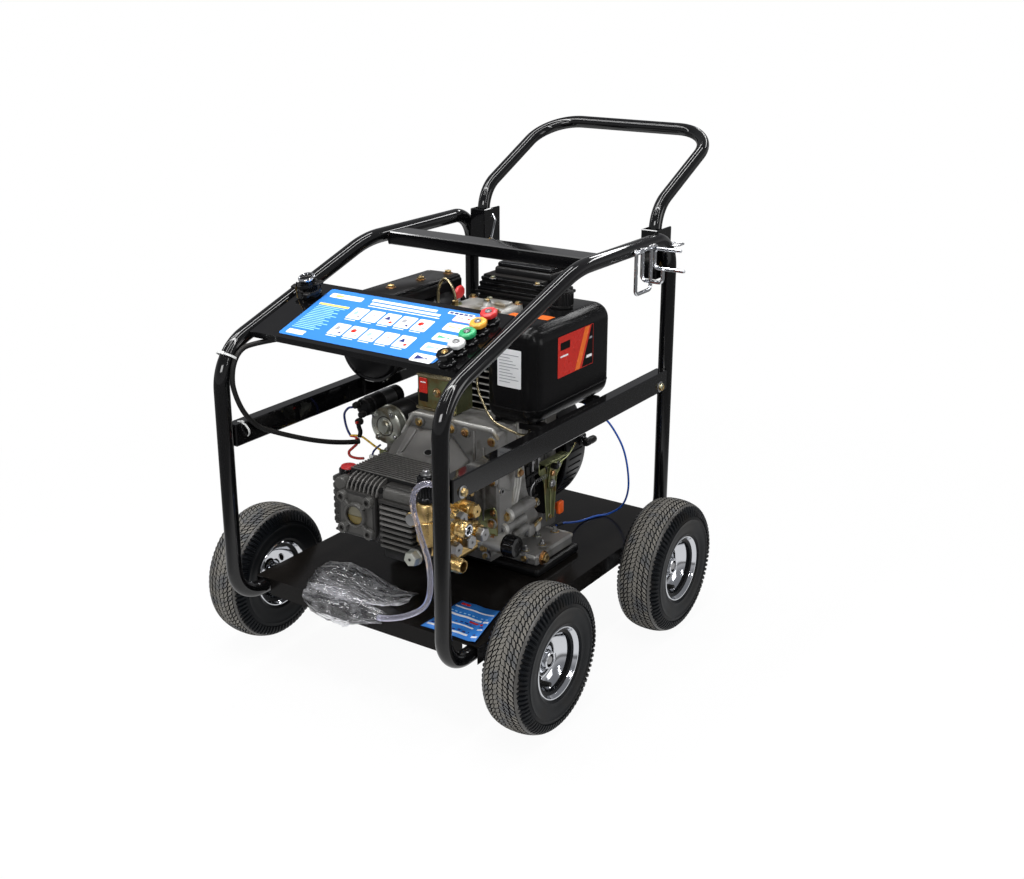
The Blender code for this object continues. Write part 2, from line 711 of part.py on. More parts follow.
def wheel(corner, side, y):
    centre = (side * WHEEL_X, y, TYRE_R)
    hub = joint_origin(f"{corner}_wheel_axis", centre)
    half = TYRE_WIDTH / 2
    seat = RIM_SEAT_R + GAP
    bead = RIM_WIDTH / 2 - RIM_SHEET - GAP
    flange = RIM_FLANGE_R + 0.0015
    tyre_profile = [
        (seat, bead), (flange, bead), (0.068, bead + 0.004), (0.090, half), (0.112, half - 0.002), (0.124, half - 0.011),
        (TYRE_R, half - 0.026), (TYRE_R, -half + 0.026), (0.124, -half + 0.011), (0.112, -half + 0.002),
        (0.090, -half), (0.068, -bead - 0.004), (flange, -bead), (seat, -bead),
        (seat + 0.004, -bead + TYRE_WALL), (0.110, -half + TYRE_WALL), (TYRE_R - TYRE_WALL, -half + 0.026),
        (TYRE_R - TYRE_WALL, half - 0.026), (0.110, half - TYRE_WALL), (seat + 0.004, bead - TYRE_WALL),
    ]
    tyre = turned(f"{corner}_tyre", tyre_profile, centre, "X", rubber(), WHEEL_STEPS, ring=True)
    edge = RIM_WIDTH / 2
    hub_half = HUB_LENGTH / 2
    bore = AXLE_R + AXLE_FIT
    well = RIM_SEAT_R - RIM_SHEET
    rim_profile = [
        (RIM_FLANGE_R, edge), (RIM_FLANGE_R, edge - RIM_SHEET), (RIM_SEAT_R, edge - RIM_SHEET),
        (RIM_SEAT_R, -edge + RIM_SHEET), (RIM_FLANGE_R, -edge + RIM_SHEET), (RIM_FLANGE_R, -edge),
        (well, -edge), (well, -0.002), (HUB_R, -0.002), (HUB_R, -hub_half), (bore, -hub_half),
        (bore, hub_half), (HUB_R, hub_half), (HUB_R, 0.002), (well, 0.002), (well, edge),
    ]
    rim = turned(f"{corner}_rim", rim_profile, centre, "X", chrome(), WHEEL_STEPS, ring=True)
    bpy.context.view_layer.update()
    hang_on(tyre, hub)
    hang_on(rim, hub)


# ---------------------------------------------------------------- push handle

def push_handle():
    bar_z = HANDLE_BEND_Z + math.tan(HANDLE_RISE) * (HANDLE_BAR_Y - HANDLE_Y)
    foot_z = PIVOT_Z - HANDLE_FOOT
    corners = []
    for side in (-1, 1):
        leg = [(side * HANDLE_X, HANDLE_Y, foot_z), (side * HANDLE_X, HANDLE_Y, HANDLE_BEND_Z),
               (side * HANDLE_X, HANDLE_BAR_Y, bar_z)]
        corners += leg if side < 0 else leg[::-1]
    radii = [0, HANDLE_LOW_BEND_R, HANDLE_TOP_BEND_R, HANDLE_TOP_BEND_R, HANDLE_LOW_BEND_R, 0]
    made = as_mesh(tube("push_handle", bent_path(corners, radii, 6), HANDLE_TUBE_R, black_paint()))
    holes = [rod(f"pivot_hole_{side}", (side * HANDLE_X - 0.02, HANDLE_Y, PIVOT_Z), "X", 0.04, PIN_R + PIN_FIT,
                 black_paint(), 16) for side in (-1, 1)]
    cut(made, *holes)
    pivot = joint_origin("handle_pivot", (0, HANDLE_Y, PIVOT_Z))
    hang_on(made, pivot)


# ---------------------------------------------------------------- engine

def casting(name, outline, y_low, y_high, finish):
    """An (x, z) outline as a solid that runs along Y."""
    curve = bpy.data.curves.new(name, "CURVE")
    curve.dimensions = "2D"
    curve.fill_mode = "BOTH"
    curve.extrude = (y_high - y_low) / 2
    spline = curve.splines.new("POLY")
    spline.points.add(len(outline) - 1)
    for point, (x, z) in zip(spline.points, outline):
        point.co = (x, z, 0, 1)
    spline.use_cyclic_u = True
    made = bpy.data.objects.new(name, curve)
    bpy.context.scene.collection.objects.link(made)
    made.matrix_world = Matrix(((1, 0, 0, 0), (0, 0, -1, (y_low + y_high) / 2), (0, 1, 0, 0), (0, 0, 0, 1)))
    return as_mesh(named(made, name, finish))


def crankcase():
    shoulder_x, shoulder_z = STARTER_X + STARTER_R + GAP, STARTER_Z - STARTER_R - GAP
    made = casting("crankcase", [
        (-CASE_HALF_X, CASE_LOW_Z - 0.004), (CASE_HALF_X, CASE_LOW_Z - 0.004), (CASE_HALF_X, CASE_TOP_Z),
        (shoulder_x, CASE_TOP_Z), (shoulder_x, shoulder_z), (-CASE_HALF_X, shoulder_z)],
        CASE_FRONT_Y, CASE_REAR_Y, cast_aluminium())
    foot = rounded(box("crankcase_foot", (FOOT_LEFT_X, FOOT_FRONT_Y, FOOT_LOW_Z),
                       (FOOT_RIGHT_X, FOOT_REAR_Y, FOOT_LOW_Z + FOOT_HEIGHT), cast_aluminium()), 0.004, 1)
    cover = casting("crankcase_cover", [
        (-0.052, FRONT_COVER_LOW_Z), (0.140, FRONT_COVER_LOW_Z), (FRONT_COVER_RIGHT_X, 0.256),
        (FRONT_COVER_RIGHT_X, 0.458), (0.146, FRONT_COVER_TOP_Z), (-0.026, FRONT_COVER_TOP_Z), (-0.052, 0.430),
        (FRONT_COVER_LEFT_X, 0.380), (FRONT_COVER_LEFT_X, 0.262)],
        FRONT_COVER_Y, CASE_FRONT_Y + 0.012, cast_aluminium())
    rounded(cover, 0.004, 1)
    filter_boss = rod("filter_boss", (0.100, OIL_FILTER_Y, OIL_FILTER_Z), "X", OIL_FILTER_X - 0.100, 0.0165,
                      cast_aluminium(), 20)
    join(made, foot, cover, filter_boss)
    cavity = rod("crank_cavity", (0, CASE_FRONT_Y + 0.012, CRANK_Z), "Y", CASE_REAR_Y - CASE_FRONT_Y - 0.024,
                 WEB_R + 0.004, cast_aluminium(), 28)
    shaft = rod("shaft_bore", (0, FRONT_COVER_Y - 0.02, CRANK_Z), "Y", 0.30, JOURNAL_R + JOURNAL_FIT,
                cast_aluminium(), 20)
    barrel = rod("barrel_hole", (0, CYLINDER_Y, CRANK_Z + 0.03), "Z", 0.10, BORE_R, cast_aluminium(), 24)
    return cut(made, cavity, shaft, barrel)


def cylinder():
    low = CASE_TOP_Z + GAP
    made = box("cylinder", (-BARREL_HALF, CYLINDER_Y - BARREL_HALF, low),
               (BARREL_HALF, CYLINDER_Y + BARREL_HALF, BARREL_TOP_Z), cast_aluminium())
    first = low + 0.010
    count = int((BARREL_TOP_Z - first) / FIN_PITCH)
    fins = stack("barrel_fins", (-FIN_HALF, CYLINDER_Y - FIN_HALF, first),
                 (FIN_HALF, CYLINDER_Y + FIN_HALF, first + FIN_THICK), (0, 0, FIN_PITCH), count, cast_aluminium())
    join(made, fins)
    return cut(made, rod("barrel_bore", (0, CYLINDER_Y, low - 0.01), "Z", 0.16, BORE_R, cast_aluminium(), 32))


def cylinder_head():
    low = BARREL_TOP_Z + GAP
    made = box("cylinder_head", (-BARREL_HALF - 0.004, CYLINDER_Y - BARREL_HALF - 0.004, low),
               (BARREL_HALF + 0.004, CYLINDER_Y + BARREL_HALF + 0.004, HEAD_TOP_Z), cast_aluminium())
    fins = stack("head_fins", (-FIN_HALF - 0.006, CYLINDER_Y - FIN_HALF, low + 0.004),
                 (FIN_HALF + 0.006, CYLINDER_Y + FIN_HALF, low + 0.004 + FIN_THICK), (0, 0, FIN_PITCH), 3,
                 cast_aluminium())
    return join(made, fins)


def rocker_cover():
    made = box("rocker_cover", (-0.060, CYLINDER_Y - 0.048, HEAD_TOP_Z + GAP), (0.066, CYLINDER_Y + 0.046, ROCKER_TOP_Z),
               cast_aluminium())
    return rounded(made, 0.010, 2)


def crankshaft():
    """Crank with flywheel; its front end drives the pump's eccentric in line."""
    web_front_y = CYLINDER_Y - 0.034
    web_rear_y = CYLINDER_Y + 0.018
    web = 0.016
    front = turned("crankshaft", [
        (0, web_front_y + web), (WEB_R, web_front_y + web), (WEB_R, web_front_y), (JOURNAL_R, web_front_y),
        (JOURNAL_R, -0.130), (0.014, -0.130), (0.014, PUMP_FRONT_Y + 0.010), (0, PUMP_FRONT_Y + 0.010)],
        (0, 0, CRANK_Z), "Y", chrome(), 20)
    rear = turned("rear_shaft", [
        (0, 0.222), (0.016, 0.222), (0.016, 0.205), (FLYWHEEL_R, 0.205), (FLYWHEEL_R, 0.172), (JOURNAL_R, 0.172),
        (JOURNAL_R, web_rear_y + web), (WEB_R, web_rear_y + web), (WEB_R, web_rear_y), (0, web_rear_y)],
        (0, 0, CRANK_Z), "Y", chrome(), 24)
    pin = rod("crank_pin", (0, web_front_y + web / 2, CRANK_Z + STROKE / 2), "Y", web_rear_y - web_front_y, CRANK_PIN_R,
              chrome(), 20)
    eccentric = rod("pump_eccentric", (0.006, PUMP_FRONT_Y + 0.020, CRANK_Z), "Y", 0.088, 0.024, chrome(), 20)
    join(front, rear, pin, eccentric)
    bpy.context.view_layer.update()
    hang_on(front, joint_origin("crank_axis", (0, 0, CRANK_Z)))


def piston():
    top = BARREL_TOP_Z - 0.006
    crown_r = BORE_R - 0.0006
    profile = [(0, top), (crown_r, top), (crown_r, top - 0.055), (crown_r - 0.006, top - 0.055),
               (crown_r - 0.006, top - 0.012), (0, top - 0.012)]
    return turned("piston", profile, (0, CYLINDER_Y, 0), "Z", cast_aluminium(), 24)


def flywheel_shroud():
    base = CASE_REAR_Y + GAP
    profile = [
        (0, SHROUD_DEPTH + RECOIL_DEPTH), (RECOIL_R - 0.014, SHROUD_DEPTH + RECOIL_DEPTH),
        (RECOIL_R, SHROUD_DEPTH + RECOIL_DEPTH - 0.012), (RECOIL_R, SHROUD_DEPTH),
        (SHROUD_R - 0.012, SHROUD_DEPTH), (SHROUD_R, SHROUD_DEPTH - 0.012), (SHROUD_R, 0),
        (SHROUD_R - SHELL, 0), (SHROUD_R - SHELL, SHROUD_DEPTH - 0.013), (SHROUD_R - 0.013, SHROUD_DEPTH - SHELL),
        (RECOIL_R - SHELL, SHROUD_DEPTH - SHELL), (RECOIL_R - SHELL, SHROUD_DEPTH + RECOIL_DEPTH - 0.013),
        (RECOIL_R - 0.015, SHROUD_DEPTH + RECOIL_DEPTH - SHELL), (0, SHROUD_DEPTH + RECOIL_DEPTH - SHELL)]
    made = turned("flywheel_shroud", profile, (0, base, CRANK_Z), "Y", black_paint(), 28)
    guide = box("rope_guide", (SHROUD_R - 0.0035, GRIP_Y - 0.012, GRIP_Z - 0.010),
                (SHROUD_R + 0.003, GRIP_Y + 0.012, GRIP_Z + 0.010), black_paint())
    return join(made, guide)


def recoil_grip():
    x, y, z = SHROUD_R + 0.003 + GAP, GRIP_Y, GRIP_Z
    made = rod("recoil_grip", (x, y, z), "X", 0.008, 0.005, black_plastic(), 12)
    grip = rod("recoil_grip_bar", (x + 0.013, y - 0.018, z), "Y", 0.036, 0.0075, black_plastic(), 12)
    return join(made, grip)


def air_filter_housing():
    lower = box("air_filter_housing", (-0.068, 0.150, 0.592), (0.090, 0.258, 0.671), black_plastic())
    rounded(lower, 0.010, 2)
    upper = rounded(box("air_filter_lid", (-0.044, 0.178, 0.660), (0.088, 0.262, 0.697), black_plastic()), 0.010, 2)
    duct = box("intake_duct", (-0.030, CYLINDER_Y + FIN_HALF + GAP, 0.586), (0.030, 0.160, 0.606), black_plastic())
    return join(lower, upper, duct)


def muffler():
    made = box("muffler", (-0.204, -0.090, 0.512), (-0.082, 0.152, 0.652), black_paint())
    rounded(made, 0.036, 3)
    guard = rounded(box("muffler_guard", (-0.178, -0.084, 0.640), (-0.090, 0.150, 0.671), black_paint()), 0.006, 1)
    stub = rod("exhaust_stub", (-0.100, CYLINDER_Y, 0.593), "X", 0.100 - FIN_HALF - 0.006 - GAP, 0.017, black_paint(), 16)
    return join(made, guard, stub)


def fuel_tank():
    """A hollow tank whose filler neck stays open under the cap."""
    low, high = Vector((0.094, -0.060, 0.470)), Vector((0.205, 0.208, 0.648))
    made = rounded(box("fuel_tank", low, high, black_plastic()), 0.022, 3)
    wall = Vector((0.004, 0.004, 0.004))
    inside = rounded(box("tank_inside", low + wall, high - wall, black_plastic()), 0.018, 2)
    neck_at = (0.150, 0.112, high.z - 0.012)
    neck = rod("filler_neck", neck_at, "Z", 0.022, 0.0165, black_plastic(), 24)
    neck_bore = rod("filler_bore", (neck_at[0], neck_at[1], high.z - 0.030), "Z", 0.060, 0.0135, black_plastic(), 24)
    cut(made, inside)
    join(made, neck)
    cut(made, neck_bore)
    cap_low = high.z + GAP
    cap_top = high.z + 0.032
    rim_z = neck_at[2] + 0.022 + GAP
    cap = turned("fuel_cap", [
        (0, cap_top), (0.018, cap_top), (0.0215, cap_top - 0.004), (0.0215, cap_low), (0.0172, cap_low),
        (0.0172, rim_z), (0, rim_z)], (neck_at[0], neck_at[1], 0), "Z", black_plastic(), 24)
    return made, cap


def starter_motor():
    made = rod("starter_motor", (STARTER_X, -0.095, STARTER_Z), "Y", 0.135, STARTER_R, zinc(), 24)
    rounded(made, 0.003, 1)
    boss = rod("starter_boss", (STARTER_X, -0.101, STARTER_Z), "Y", 0.012, 0.012, zinc(), 16)
    return join(made, boss)


def starter_solenoid():
    """The solenoid lies along the starter on a short saddle."""
    made = rod("starter_solenoid", (SOLENOID_X, -0.100, SOLENOID_Z), "Y", 0.104, SOLENOID_R, black_plastic(), 20)
    rounded(made, 0.003, 1)
    toward = Vector((STARTER_X - SOLENOID_X, 0, STARTER_Z - SOLENOID_Z))
    reach = toward.length - STARTER_R - GAP
    saddle = rod("solenoid_saddle", (0, 0, 0), "Z", reach, 0.008, black_plastic(), 12)
    saddle.matrix_world = Matrix.Translation((SOLENOID_X, -0.030, SOLENOID_Z)) @ toward.to_track_quat("Z", "Y").to_matrix().to_4x4()
    return join(made, saddle)


def oil_filter_cap():
    made = rod("oil_filter_cap", (OIL_FILTER_X + GAP, OIL_FILTER_Y, OIL_FILTER_Z), "X", 0.024, 0.0195,
               black_plastic(), 20)
    return rounded(made, 0.002, 1)


def dipstick():
    y = 0.134
    made = rod("oil_dipstick", (CASE_HALF_X + GAP, y, 0.246), "X", 0.022, 0.008, black_plastic(), 12)
    head = rounded(box("dipstick_head", (CASE_HALF_X + 0.016, y - 0.014, 0.2345), (CASE_HALF_X + 0.032, y + 0.014, 0.2575),
                       black_plastic()), 0.003, 1)
    return join(made, head)


def injection_pipe():
    """Steel pipe that climbs between the muffler and the head and arches over to the injector."""
    route = [(-0.0750, 0.040, 0.560), (-0.0750, 0.040, 0.610), (-0.0750, 0.039, 0.648), (-0.071, 0.038, 0.672),
             (-0.058, 0.037, 0.688), (-0.044, 0.037, 0.680), (-0.036, 0.038, 0.662), (-0.034, 0.038, ROCKER_TOP_Z + GAP)]
    return tube("injection_pipe", smooth_route(route, 0.008), 0.003, zinc(), resolution=2)


def fuel_pipe():
    """Copper return line from the head to the tank's underside."""
    route = [
        (0.0720, 0.040, 0.594), (0.0770, 0.030, 0.596), (0.0800, 0.010, 0.596), (0.0805, -0.030, 0.582),
        (0.0805, -0.052, 0.558), (0.0820, -0.058, 0.536), (0.0900, -0.064, 0.520), (0.1015, -0.068, 0.506),
        (0.1170, -0.073, 0.488), (0.1400, -0.083, 0.479), (0.1670, -0.085, 0.4735), (0.1830, -0.077, 0.466),
        (0.1860, -0.058, 0.460), (0.1800, -0.040, 0.4590), (0.1720, -0.028, 0.4605), (0.1700, -0.025, 0.4650)]
    path = [(0.0680 + GAP, 0.040, 0.594), *smooth_route(route, 0.012), (0.1700, -0.025, 0.4700 - GAP)]
    return tube("fuel_pipe", path, 0.0025, brass(), resolution=2)


def cowl_bracket():
    low = FRONT_COVER_TOP_Z + GAP
    made = box("cowl_bracket", (-0.036, -0.080, low), (0.050, -0.026, 0.540), zinc())
    rounded(made, 0.003, 1)
    inside = box("cowl_inside", (-0.033, -0.077, 0.450), (0.047, 0.02, 0.537), zinc())
    return cut(made, inside)


def speed_lever():
    """The governor lever turns on a stud in its plate; the plate stands on a boss of the crankcase."""
    plate_x, lever_x = 0.142, 0.1440
    outline = [(0.052, 0.362), (0.050, 0.345), (0.072, 0.322), (0.084, 0.236), (0.102, 0.236), (0.106, 0.322),
               (0.130, 0.343), (0.128, 0.362)]
    plate = bar("speed_plate", outline, 0.0015, plate_x, zinc())
    boss = box("speed_boss", (CASE_HALF_X + GAP, 0.080, 0.256), (plate_x, 0.100, 0.330), zinc())
    stud = rod("speed_stud", (plate_x - 0.001, 0.090, 0.312), "X", 0.012, 0.004, zinc(), 12)
    join(plate, boss, stud)
    lever = rounded(box("speed_lever", (lever_x, 0.083, 0.303), (lever_x + 0.003, 0.097, 0.357), zinc()), 0.0008, 1)
    knob = rod("speed_lever_knob", (lever_x + 0.0012, 0.090, 0.3475), "X", 0.014, 0.0055, black_plastic(), 12)
    join(lever, knob)
    cut(lever, rod("speed_lever_eye", (lever_x - 0.01, 0.090, 0.312), "X", 0.03, 0.0046, zinc(), 12))
    bpy.context.view_layer.update()
    hang_on(lever, joint_origin("speed_lever_axis", (lever_x, 0.090, 0.312)))


def decompression_lever():
    x, y = -0.040, 0.052
    made = rod("decompression_lever", (x, y, ROCKER_TOP_Z + GAP), "Z", 0.012, 0.006, chrome(), 16)
    handle = box("decompression_handle", (x - 0.0032, y - 0.0075, ROCKER_TOP_Z + 0.0072),
                 (x + 0.0032, y + 0.020, ROCKER_TOP_Z + 0.030), material("red_plastic", (0.5, 0.02, 0.02), 0.4, 0.0))
    return join(made, rounded(handle, 0.0015, 1))


# ---------------------------------------------------------------- pump

def bell_housing():
    """Eight-sided adaptor that carries the pump on the crankcase's front cover."""
    depth = FRONT_COVER_Y - GAP - BELL_FRONT_Y
    bpy.ops.mesh.primitive_cone_add(vertices=8, radius1=0.084, radius2=0.098, depth=depth)
    made = bpy.context.object
    made.data.transform(Matrix.Rotation(math.radians(22.5), 4, "Z"))
    made.matrix_world = Matrix.Translation((0, BELL_FRONT_Y + depth / 2, CRANK_Z)) @ TURN["Y"]
    named(made, "bell_housing", cast_aluminium())
    hollow = rod("bell_hollow", (0, BELL_FRONT_Y - 0.01, CRANK_Z), "Y", depth + 0.02, 0.045, cast_aluminium(), 24)
    return cut(made, hollow)


def pump_crankcase():
    rear = BELL_FRONT_Y - GAP
    made = box("pump_crankcase", (PUMP_LEFT_X, PUMP_FRONT_Y, PUMP_LOW_Z), (PUMP_RIGHT_X, rear, PUMP_TOP_Z),
               dark_casting())
    rounded(made, 0.014, 2)
    half = PUMP_COVER / 2
    cover = rounded(box("pump_cover", (-half, PUMP_FRONT_Y - PUMP_COVER_DEPTH, CRANK_Z - half),
                        (half, PUMP_FRONT_Y + 0.010, CRANK_Z + half), dark_casting()), 0.006, 1)
    side = rounded(box("pump_side", (PUMP_SIDE_X, -0.262, 0.292), (PUMP_LEFT_X + 0.012, -0.172, 0.394),
                       dark_casting()), 0.012, 2)
    top = stack("top_fins", (PUMP_LEFT_X + 0.022, PUMP_FRONT_Y + 0.014, PUMP_TOP_Z - 0.004),
                (PUMP_RIGHT_X - 0.012, PUMP_FRONT_Y + 0.018, PUMP_TOP_Z + PUMP_FIN), (0, 0.0115, 0), 9, dark_casting())
    front = stack("front_fins", (half + 0.003, PUMP_FRONT_Y - 0.008, PUMP_LOW_Z + 0.024),
                  (PUMP_RIGHT_X - 0.006, PUMP_FRONT_Y + 0.006, PUMP_LOW_Z + 0.0285), (0, 0, 0.0135), 8, dark_casting())
    left = stack("left_fins", (PUMP_SIDE_X - 0.008, -0.250, 0.302), (PUMP_SIDE_X + 0.006, -0.184, 0.3065),
                 (0, 0, 0.0135), 6, dark_casting())
    cap = rod("pump_oil_cap", (-0.072, -0.234, 0.384), "Z", 0.026, 0.0125, dark_casting(), 16)
    join(made, cover, side, top, front, left, cap)
    cavity = rod("pump_cavity", (0, PUMP_FRONT_Y + 0.006, CRANK_Z), "Y", 0.14, 0.036, dark_casting(), 24)
    return cut(made, cavity)


def pump_head():
    """Brass head with its valve caps, inlet, outlet and the unloader's body."""
    left = PUMP_RIGHT_X + GAP
    made = rounded(box("pump_head", (left, HEAD_FRONT_Y, HEAD_LOW_Z), (HEAD_RIGHT_X, HEAD_REAR_Y, HEAD_UP_Z), brass()),
                   0.004, 1)
    caps = []
    middle_y = (HEAD_FRONT_Y + HEAD_REAR_Y) / 2
    for index in range(3):
        y = middle_y + (index - 1) * VALVE_PITCH
        caps.append(rod(f"valve_cap_{index}", (HEAD_RIGHT_X - 0.002, y, 0.309), "X", 0.016, 0.0125, brass(), 6))
    manifold = rounded(box("inlet_manifold", (left + 0.006, HEAD_FRONT_Y - 0.004, 0.264),
                           (HEAD_RIGHT_X - 0.006, HEAD_REAR_Y, HEAD_LOW_Z + 0.006), brass()), 0.004, 1)
    inlet = rod("inlet_coupling", (HEAD_RIGHT_X - 0.012, -0.249, 0.281), "X", 0.033, 0.0130, brass(), 16)
    outlet = rod("outlet_coupling", (HEAD_RIGHT_X - 0.002, -0.246, 0.3485), "X", 0.034, 0.0155, brass(), 16)
    plug = rod("manifold_plug", (0.122, PUMP_FRONT_Y - 0.026, 0.301), "Y", 0.016, 0.0150, brass(), 6)
    shank = rod("plug_shank", (left + 0.0115, PUMP_FRONT_Y - 0.012, 0.301), "Y", 0.045, 0.0105, brass(), 12)
    boss = rod("unloader_boss", (UNLOADER_X, UNLOADER_Y, 0.336), "Y", 0.030, 0.012, brass(), 16)
    body = rod("unloader_body", (UNLOADER_X, UNLOADER_Y, 0.322), "Z", KNOB_LOW_Z - GAP - 0.322, UNLOADER_R, brass(), 8)
    barb = rod("bypass_barb", (UNLOADER_X, UNLOADER_Y, BARB_Z), "X", BARB_REACH, 0.005, brass(), 12)
    return join(made, manifold, inlet, outlet, plug, shank, boss, body, barb, *caps)


def unloader_knob():
    """Ribbed pressure knob with the end of its adjusting screw."""
    return turned("unloader_knob", [
        (0, KNOB_TOP_Z + 0.009), (0.006, KNOB_TOP_Z + 0.009), (0.006, KNOB_TOP_Z), (KNOB_R - 0.003, KNOB_TOP_Z),
        (KNOB_R, KNOB_TOP_Z - 0.003), (KNOB_R, KNOB_LOW_Z + 0.010), (KNOB_R + 0.002, KNOB_LOW_Z + 0.008),
        (KNOB_R + 0.002, KNOB_LOW_Z), (0, KNOB_LOW_Z)], (UNLOADER_X, UNLOADER_Y, 0), "Z", black_plastic(), 20)


# ---------------------------------------------------------------- hoses, leads and the bag

def bypass_hose():
    """Clear hose from the unloader's barb; its free end is in the bag."""
    start_x = UNLOADER_X + BARB_REACH + GAP
    route = [
        (start_x + 0.004, UNLOADER_Y, BARB_Z), (start_x + 0.010, -0.2850, 0.386), (start_x + 0.017, -0.290, 0.398),
        (start_x + 0.014, -0.303, 0.430), (0.176, -0.317, 0.450), (0.158, -0.3235, 0.4475), (0.1435, -0.3245, 0.430),
        (0.1405, -0.3245, 0.408), (0.1445, -0.323, 0.385), (0.153, -0.320, 0.350), (0.1615, -0.3145, 0.312),
        (0.1620, -0.3105, 0.264), (0.1500, -0.311, 0.224), (0.112, -0.3125, 0.1955), (0.072, -0.313, 0.1790),
        (0.0500, -0.313, 0.1745)]
    path = [(start_x, UNLOADER_Y, BARB_Z), *smooth_route(route, 0.015)]
    return tube("bypass_hose", path, BYPASS_HOSE_R,
                material("clear_hose", (0.7, 0.7, 0.85), 0.1, 0.0), resolution=2)


def ellipsoid(name, centre, radii, finish):
    bpy.ops.mesh.primitive_uv_sphere_add(segments=16, ring_count=8, radius=1, location=centre)
    made = bpy.context.object
    made.data.transform(Matrix.Diagonal((*radii, 1)))
    return smooth(named(made, name, finish))


def hose_bag():
    """The loosely crumpled bag around the bypass hose's end: it lies on the tray and sags over its front edge."""
    film = material("clear_film", (0.8, 0.8, 0.85), 0.1, 0.0)
    made = ellipsoid("hose_bag", (-0.035, -0.262, TRAY_TOP_Z + 0.0295 + GAP), (0.098, 0.050, 0.0295), film)
    front = ellipsoid("bag_front", (-0.040, TRAY_FRONT_Y - 0.0225, 0.179), (0.080, 0.0215, 0.038), film)
    return join(made, front)


def wiring_harness():
    """Loom from under the panel, down the front left post and across to the starter."""
    x = -HOOP_INNER_X + HARNESS_R + 0.0005
    route = [
        (-0.165, -0.280, 0.632), (-0.190, -0.298, 0.6265), (-0.2060, -0.314, 0.6225), (x, -0.334, 0.618),
        (x, -0.352, 0.604), (x, -0.361, 0.582), (x, -0.3620, 0.558), (x, -0.355, 0.535), (x, -0.345, 0.513),
        (x, -0.330, 0.492), (-0.211, -0.308, 0.470), (-0.202, -0.282, 0.455), (-0.188, -0.255, 0.442),
        (-0.168, -0.226, 0.430), (-0.150, -0.195, 0.420), (-0.136, -0.165, 0.413), (-0.126, -0.140, 0.409)]
    return tube("wiring_harness", smooth_route(route, 0.018), HARNESS_R, rubber(), resolution=2)


def blue_lead():
    """Lead from under the tank, round the rear and back along the tray to the engine's foot."""
    low = TRAY_TOP_Z + LEAD_R + GAP
    route = [
        (0.150, 0.165, 0.4675), (0.156, 0.176, 0.452), (0.172, 0.192, 0.438), (0.190, 0.211, 0.414),
        (0.199, 0.232, 0.385), (0.203, 0.262, 0.340), (0.204, 0.281, 0.290), (0.198, 0.296, 0.240), (0.180, 0.306, 0.200),
        (0.152, 0.304, low + 0.003), (0.132, 0.282, low), (0.122, 0.240, low + 0.002), (0.124, 0.196, 0.188),
        (0.132, 0.160, 0.202), (0.140, 0.120, 0.2135)]
    return tube("blue_lead", smooth_route(route, 0.011), LEAD_R, material("blue_lead", (0.04, 0.12, 0.6), 0.4, 0.0),
                resolution=2)


# ---------------------------------------------------------------- assembly

def centre_on_origin():
    """The pieces are placed from the middle of the frame; the origin is under the middle of the whole machine."""
    origin = joint_origin("machine_origin", (0, -MIDDLE_Y, 0))
    for thing in list(bpy.data.objects):
        if thing.parent is None and thing is not origin:
            thing.parent = origin


def build():
    start_scene()
    for label, side in (("left", -1), ("right", 1)):
        side_hoop(f"{label}_side_hoop", side)
        side_rail(f"{label}_side_rail", side)
        handle_bracket(f"{label}_handle_bracket", side)
    lifting_crossbar()
    base_tray()
    engine_mount_pad()
    control_panel()
    axle("front_axle", FRONT_WHEEL_Y)
    axle("rear_axle", REAR_WHEEL_Y)
    hose_hook()
    nozzle_rack()
    spray_nozzles()
    ignition_switch()
    for end, y in (("front", FRONT_WHEEL_Y), ("rear", REAR_WHEEL_Y)):
        for label, side in (("left", -1), ("right", 1)):
            wheel(f"{end}_{label}", side, y)
    push_handle()
    for make in (crankcase, cylinder, cylinder_head, rocker_cover, crankshaft, piston, flywheel_shroud, recoil_grip,
                 air_filter_housing, muffler, fuel_tank, starter_motor, starter_solenoid, oil_filter_cap,
                 dipstick, injection_pipe, fuel_pipe, cowl_bracket, speed_lever, decompression_lever,
                 bell_housing, pump_crankcase, pump_head, unloader_knob,
                 bypass_hose, hose_bag, wiring_harness, blue_lead):
        make()
    centre_on_origin()


build()
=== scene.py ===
"""Looks of a diesel pressure washer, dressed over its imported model.

Lengths and places in the shapes are in millimetres, measured from the middle of the wheeled frame as in the part's
source. The mesh tools turn them into metres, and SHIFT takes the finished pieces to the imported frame. -Y is the front
with the pump, +Y the push handle, +X the fuel tank. Lamps, camera and textures are in metres.
"""
import random
from math import atan2, copysign, cos, pi, radians, sin, tan

import bmesh
import bpy
from mathutils import Matrix, Vector
from mathutils.kdtree import KDTree

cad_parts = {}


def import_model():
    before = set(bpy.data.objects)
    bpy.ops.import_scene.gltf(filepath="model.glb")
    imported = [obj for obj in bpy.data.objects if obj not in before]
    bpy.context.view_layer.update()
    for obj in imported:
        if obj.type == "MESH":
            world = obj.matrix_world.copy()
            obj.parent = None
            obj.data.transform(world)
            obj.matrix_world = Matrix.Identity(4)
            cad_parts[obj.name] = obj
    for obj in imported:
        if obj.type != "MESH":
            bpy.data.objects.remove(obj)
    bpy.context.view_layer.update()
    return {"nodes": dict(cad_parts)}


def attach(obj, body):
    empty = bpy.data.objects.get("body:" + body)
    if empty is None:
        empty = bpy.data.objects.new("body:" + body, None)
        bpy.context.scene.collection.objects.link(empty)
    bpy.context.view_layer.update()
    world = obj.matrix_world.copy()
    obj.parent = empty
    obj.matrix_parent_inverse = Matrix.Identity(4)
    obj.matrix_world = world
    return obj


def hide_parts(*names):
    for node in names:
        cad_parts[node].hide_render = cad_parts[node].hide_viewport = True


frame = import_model()
NODES = frame["nodes"]
MM = 0.001
SHIFT = Matrix.Translation((0, -0.12425, 0))
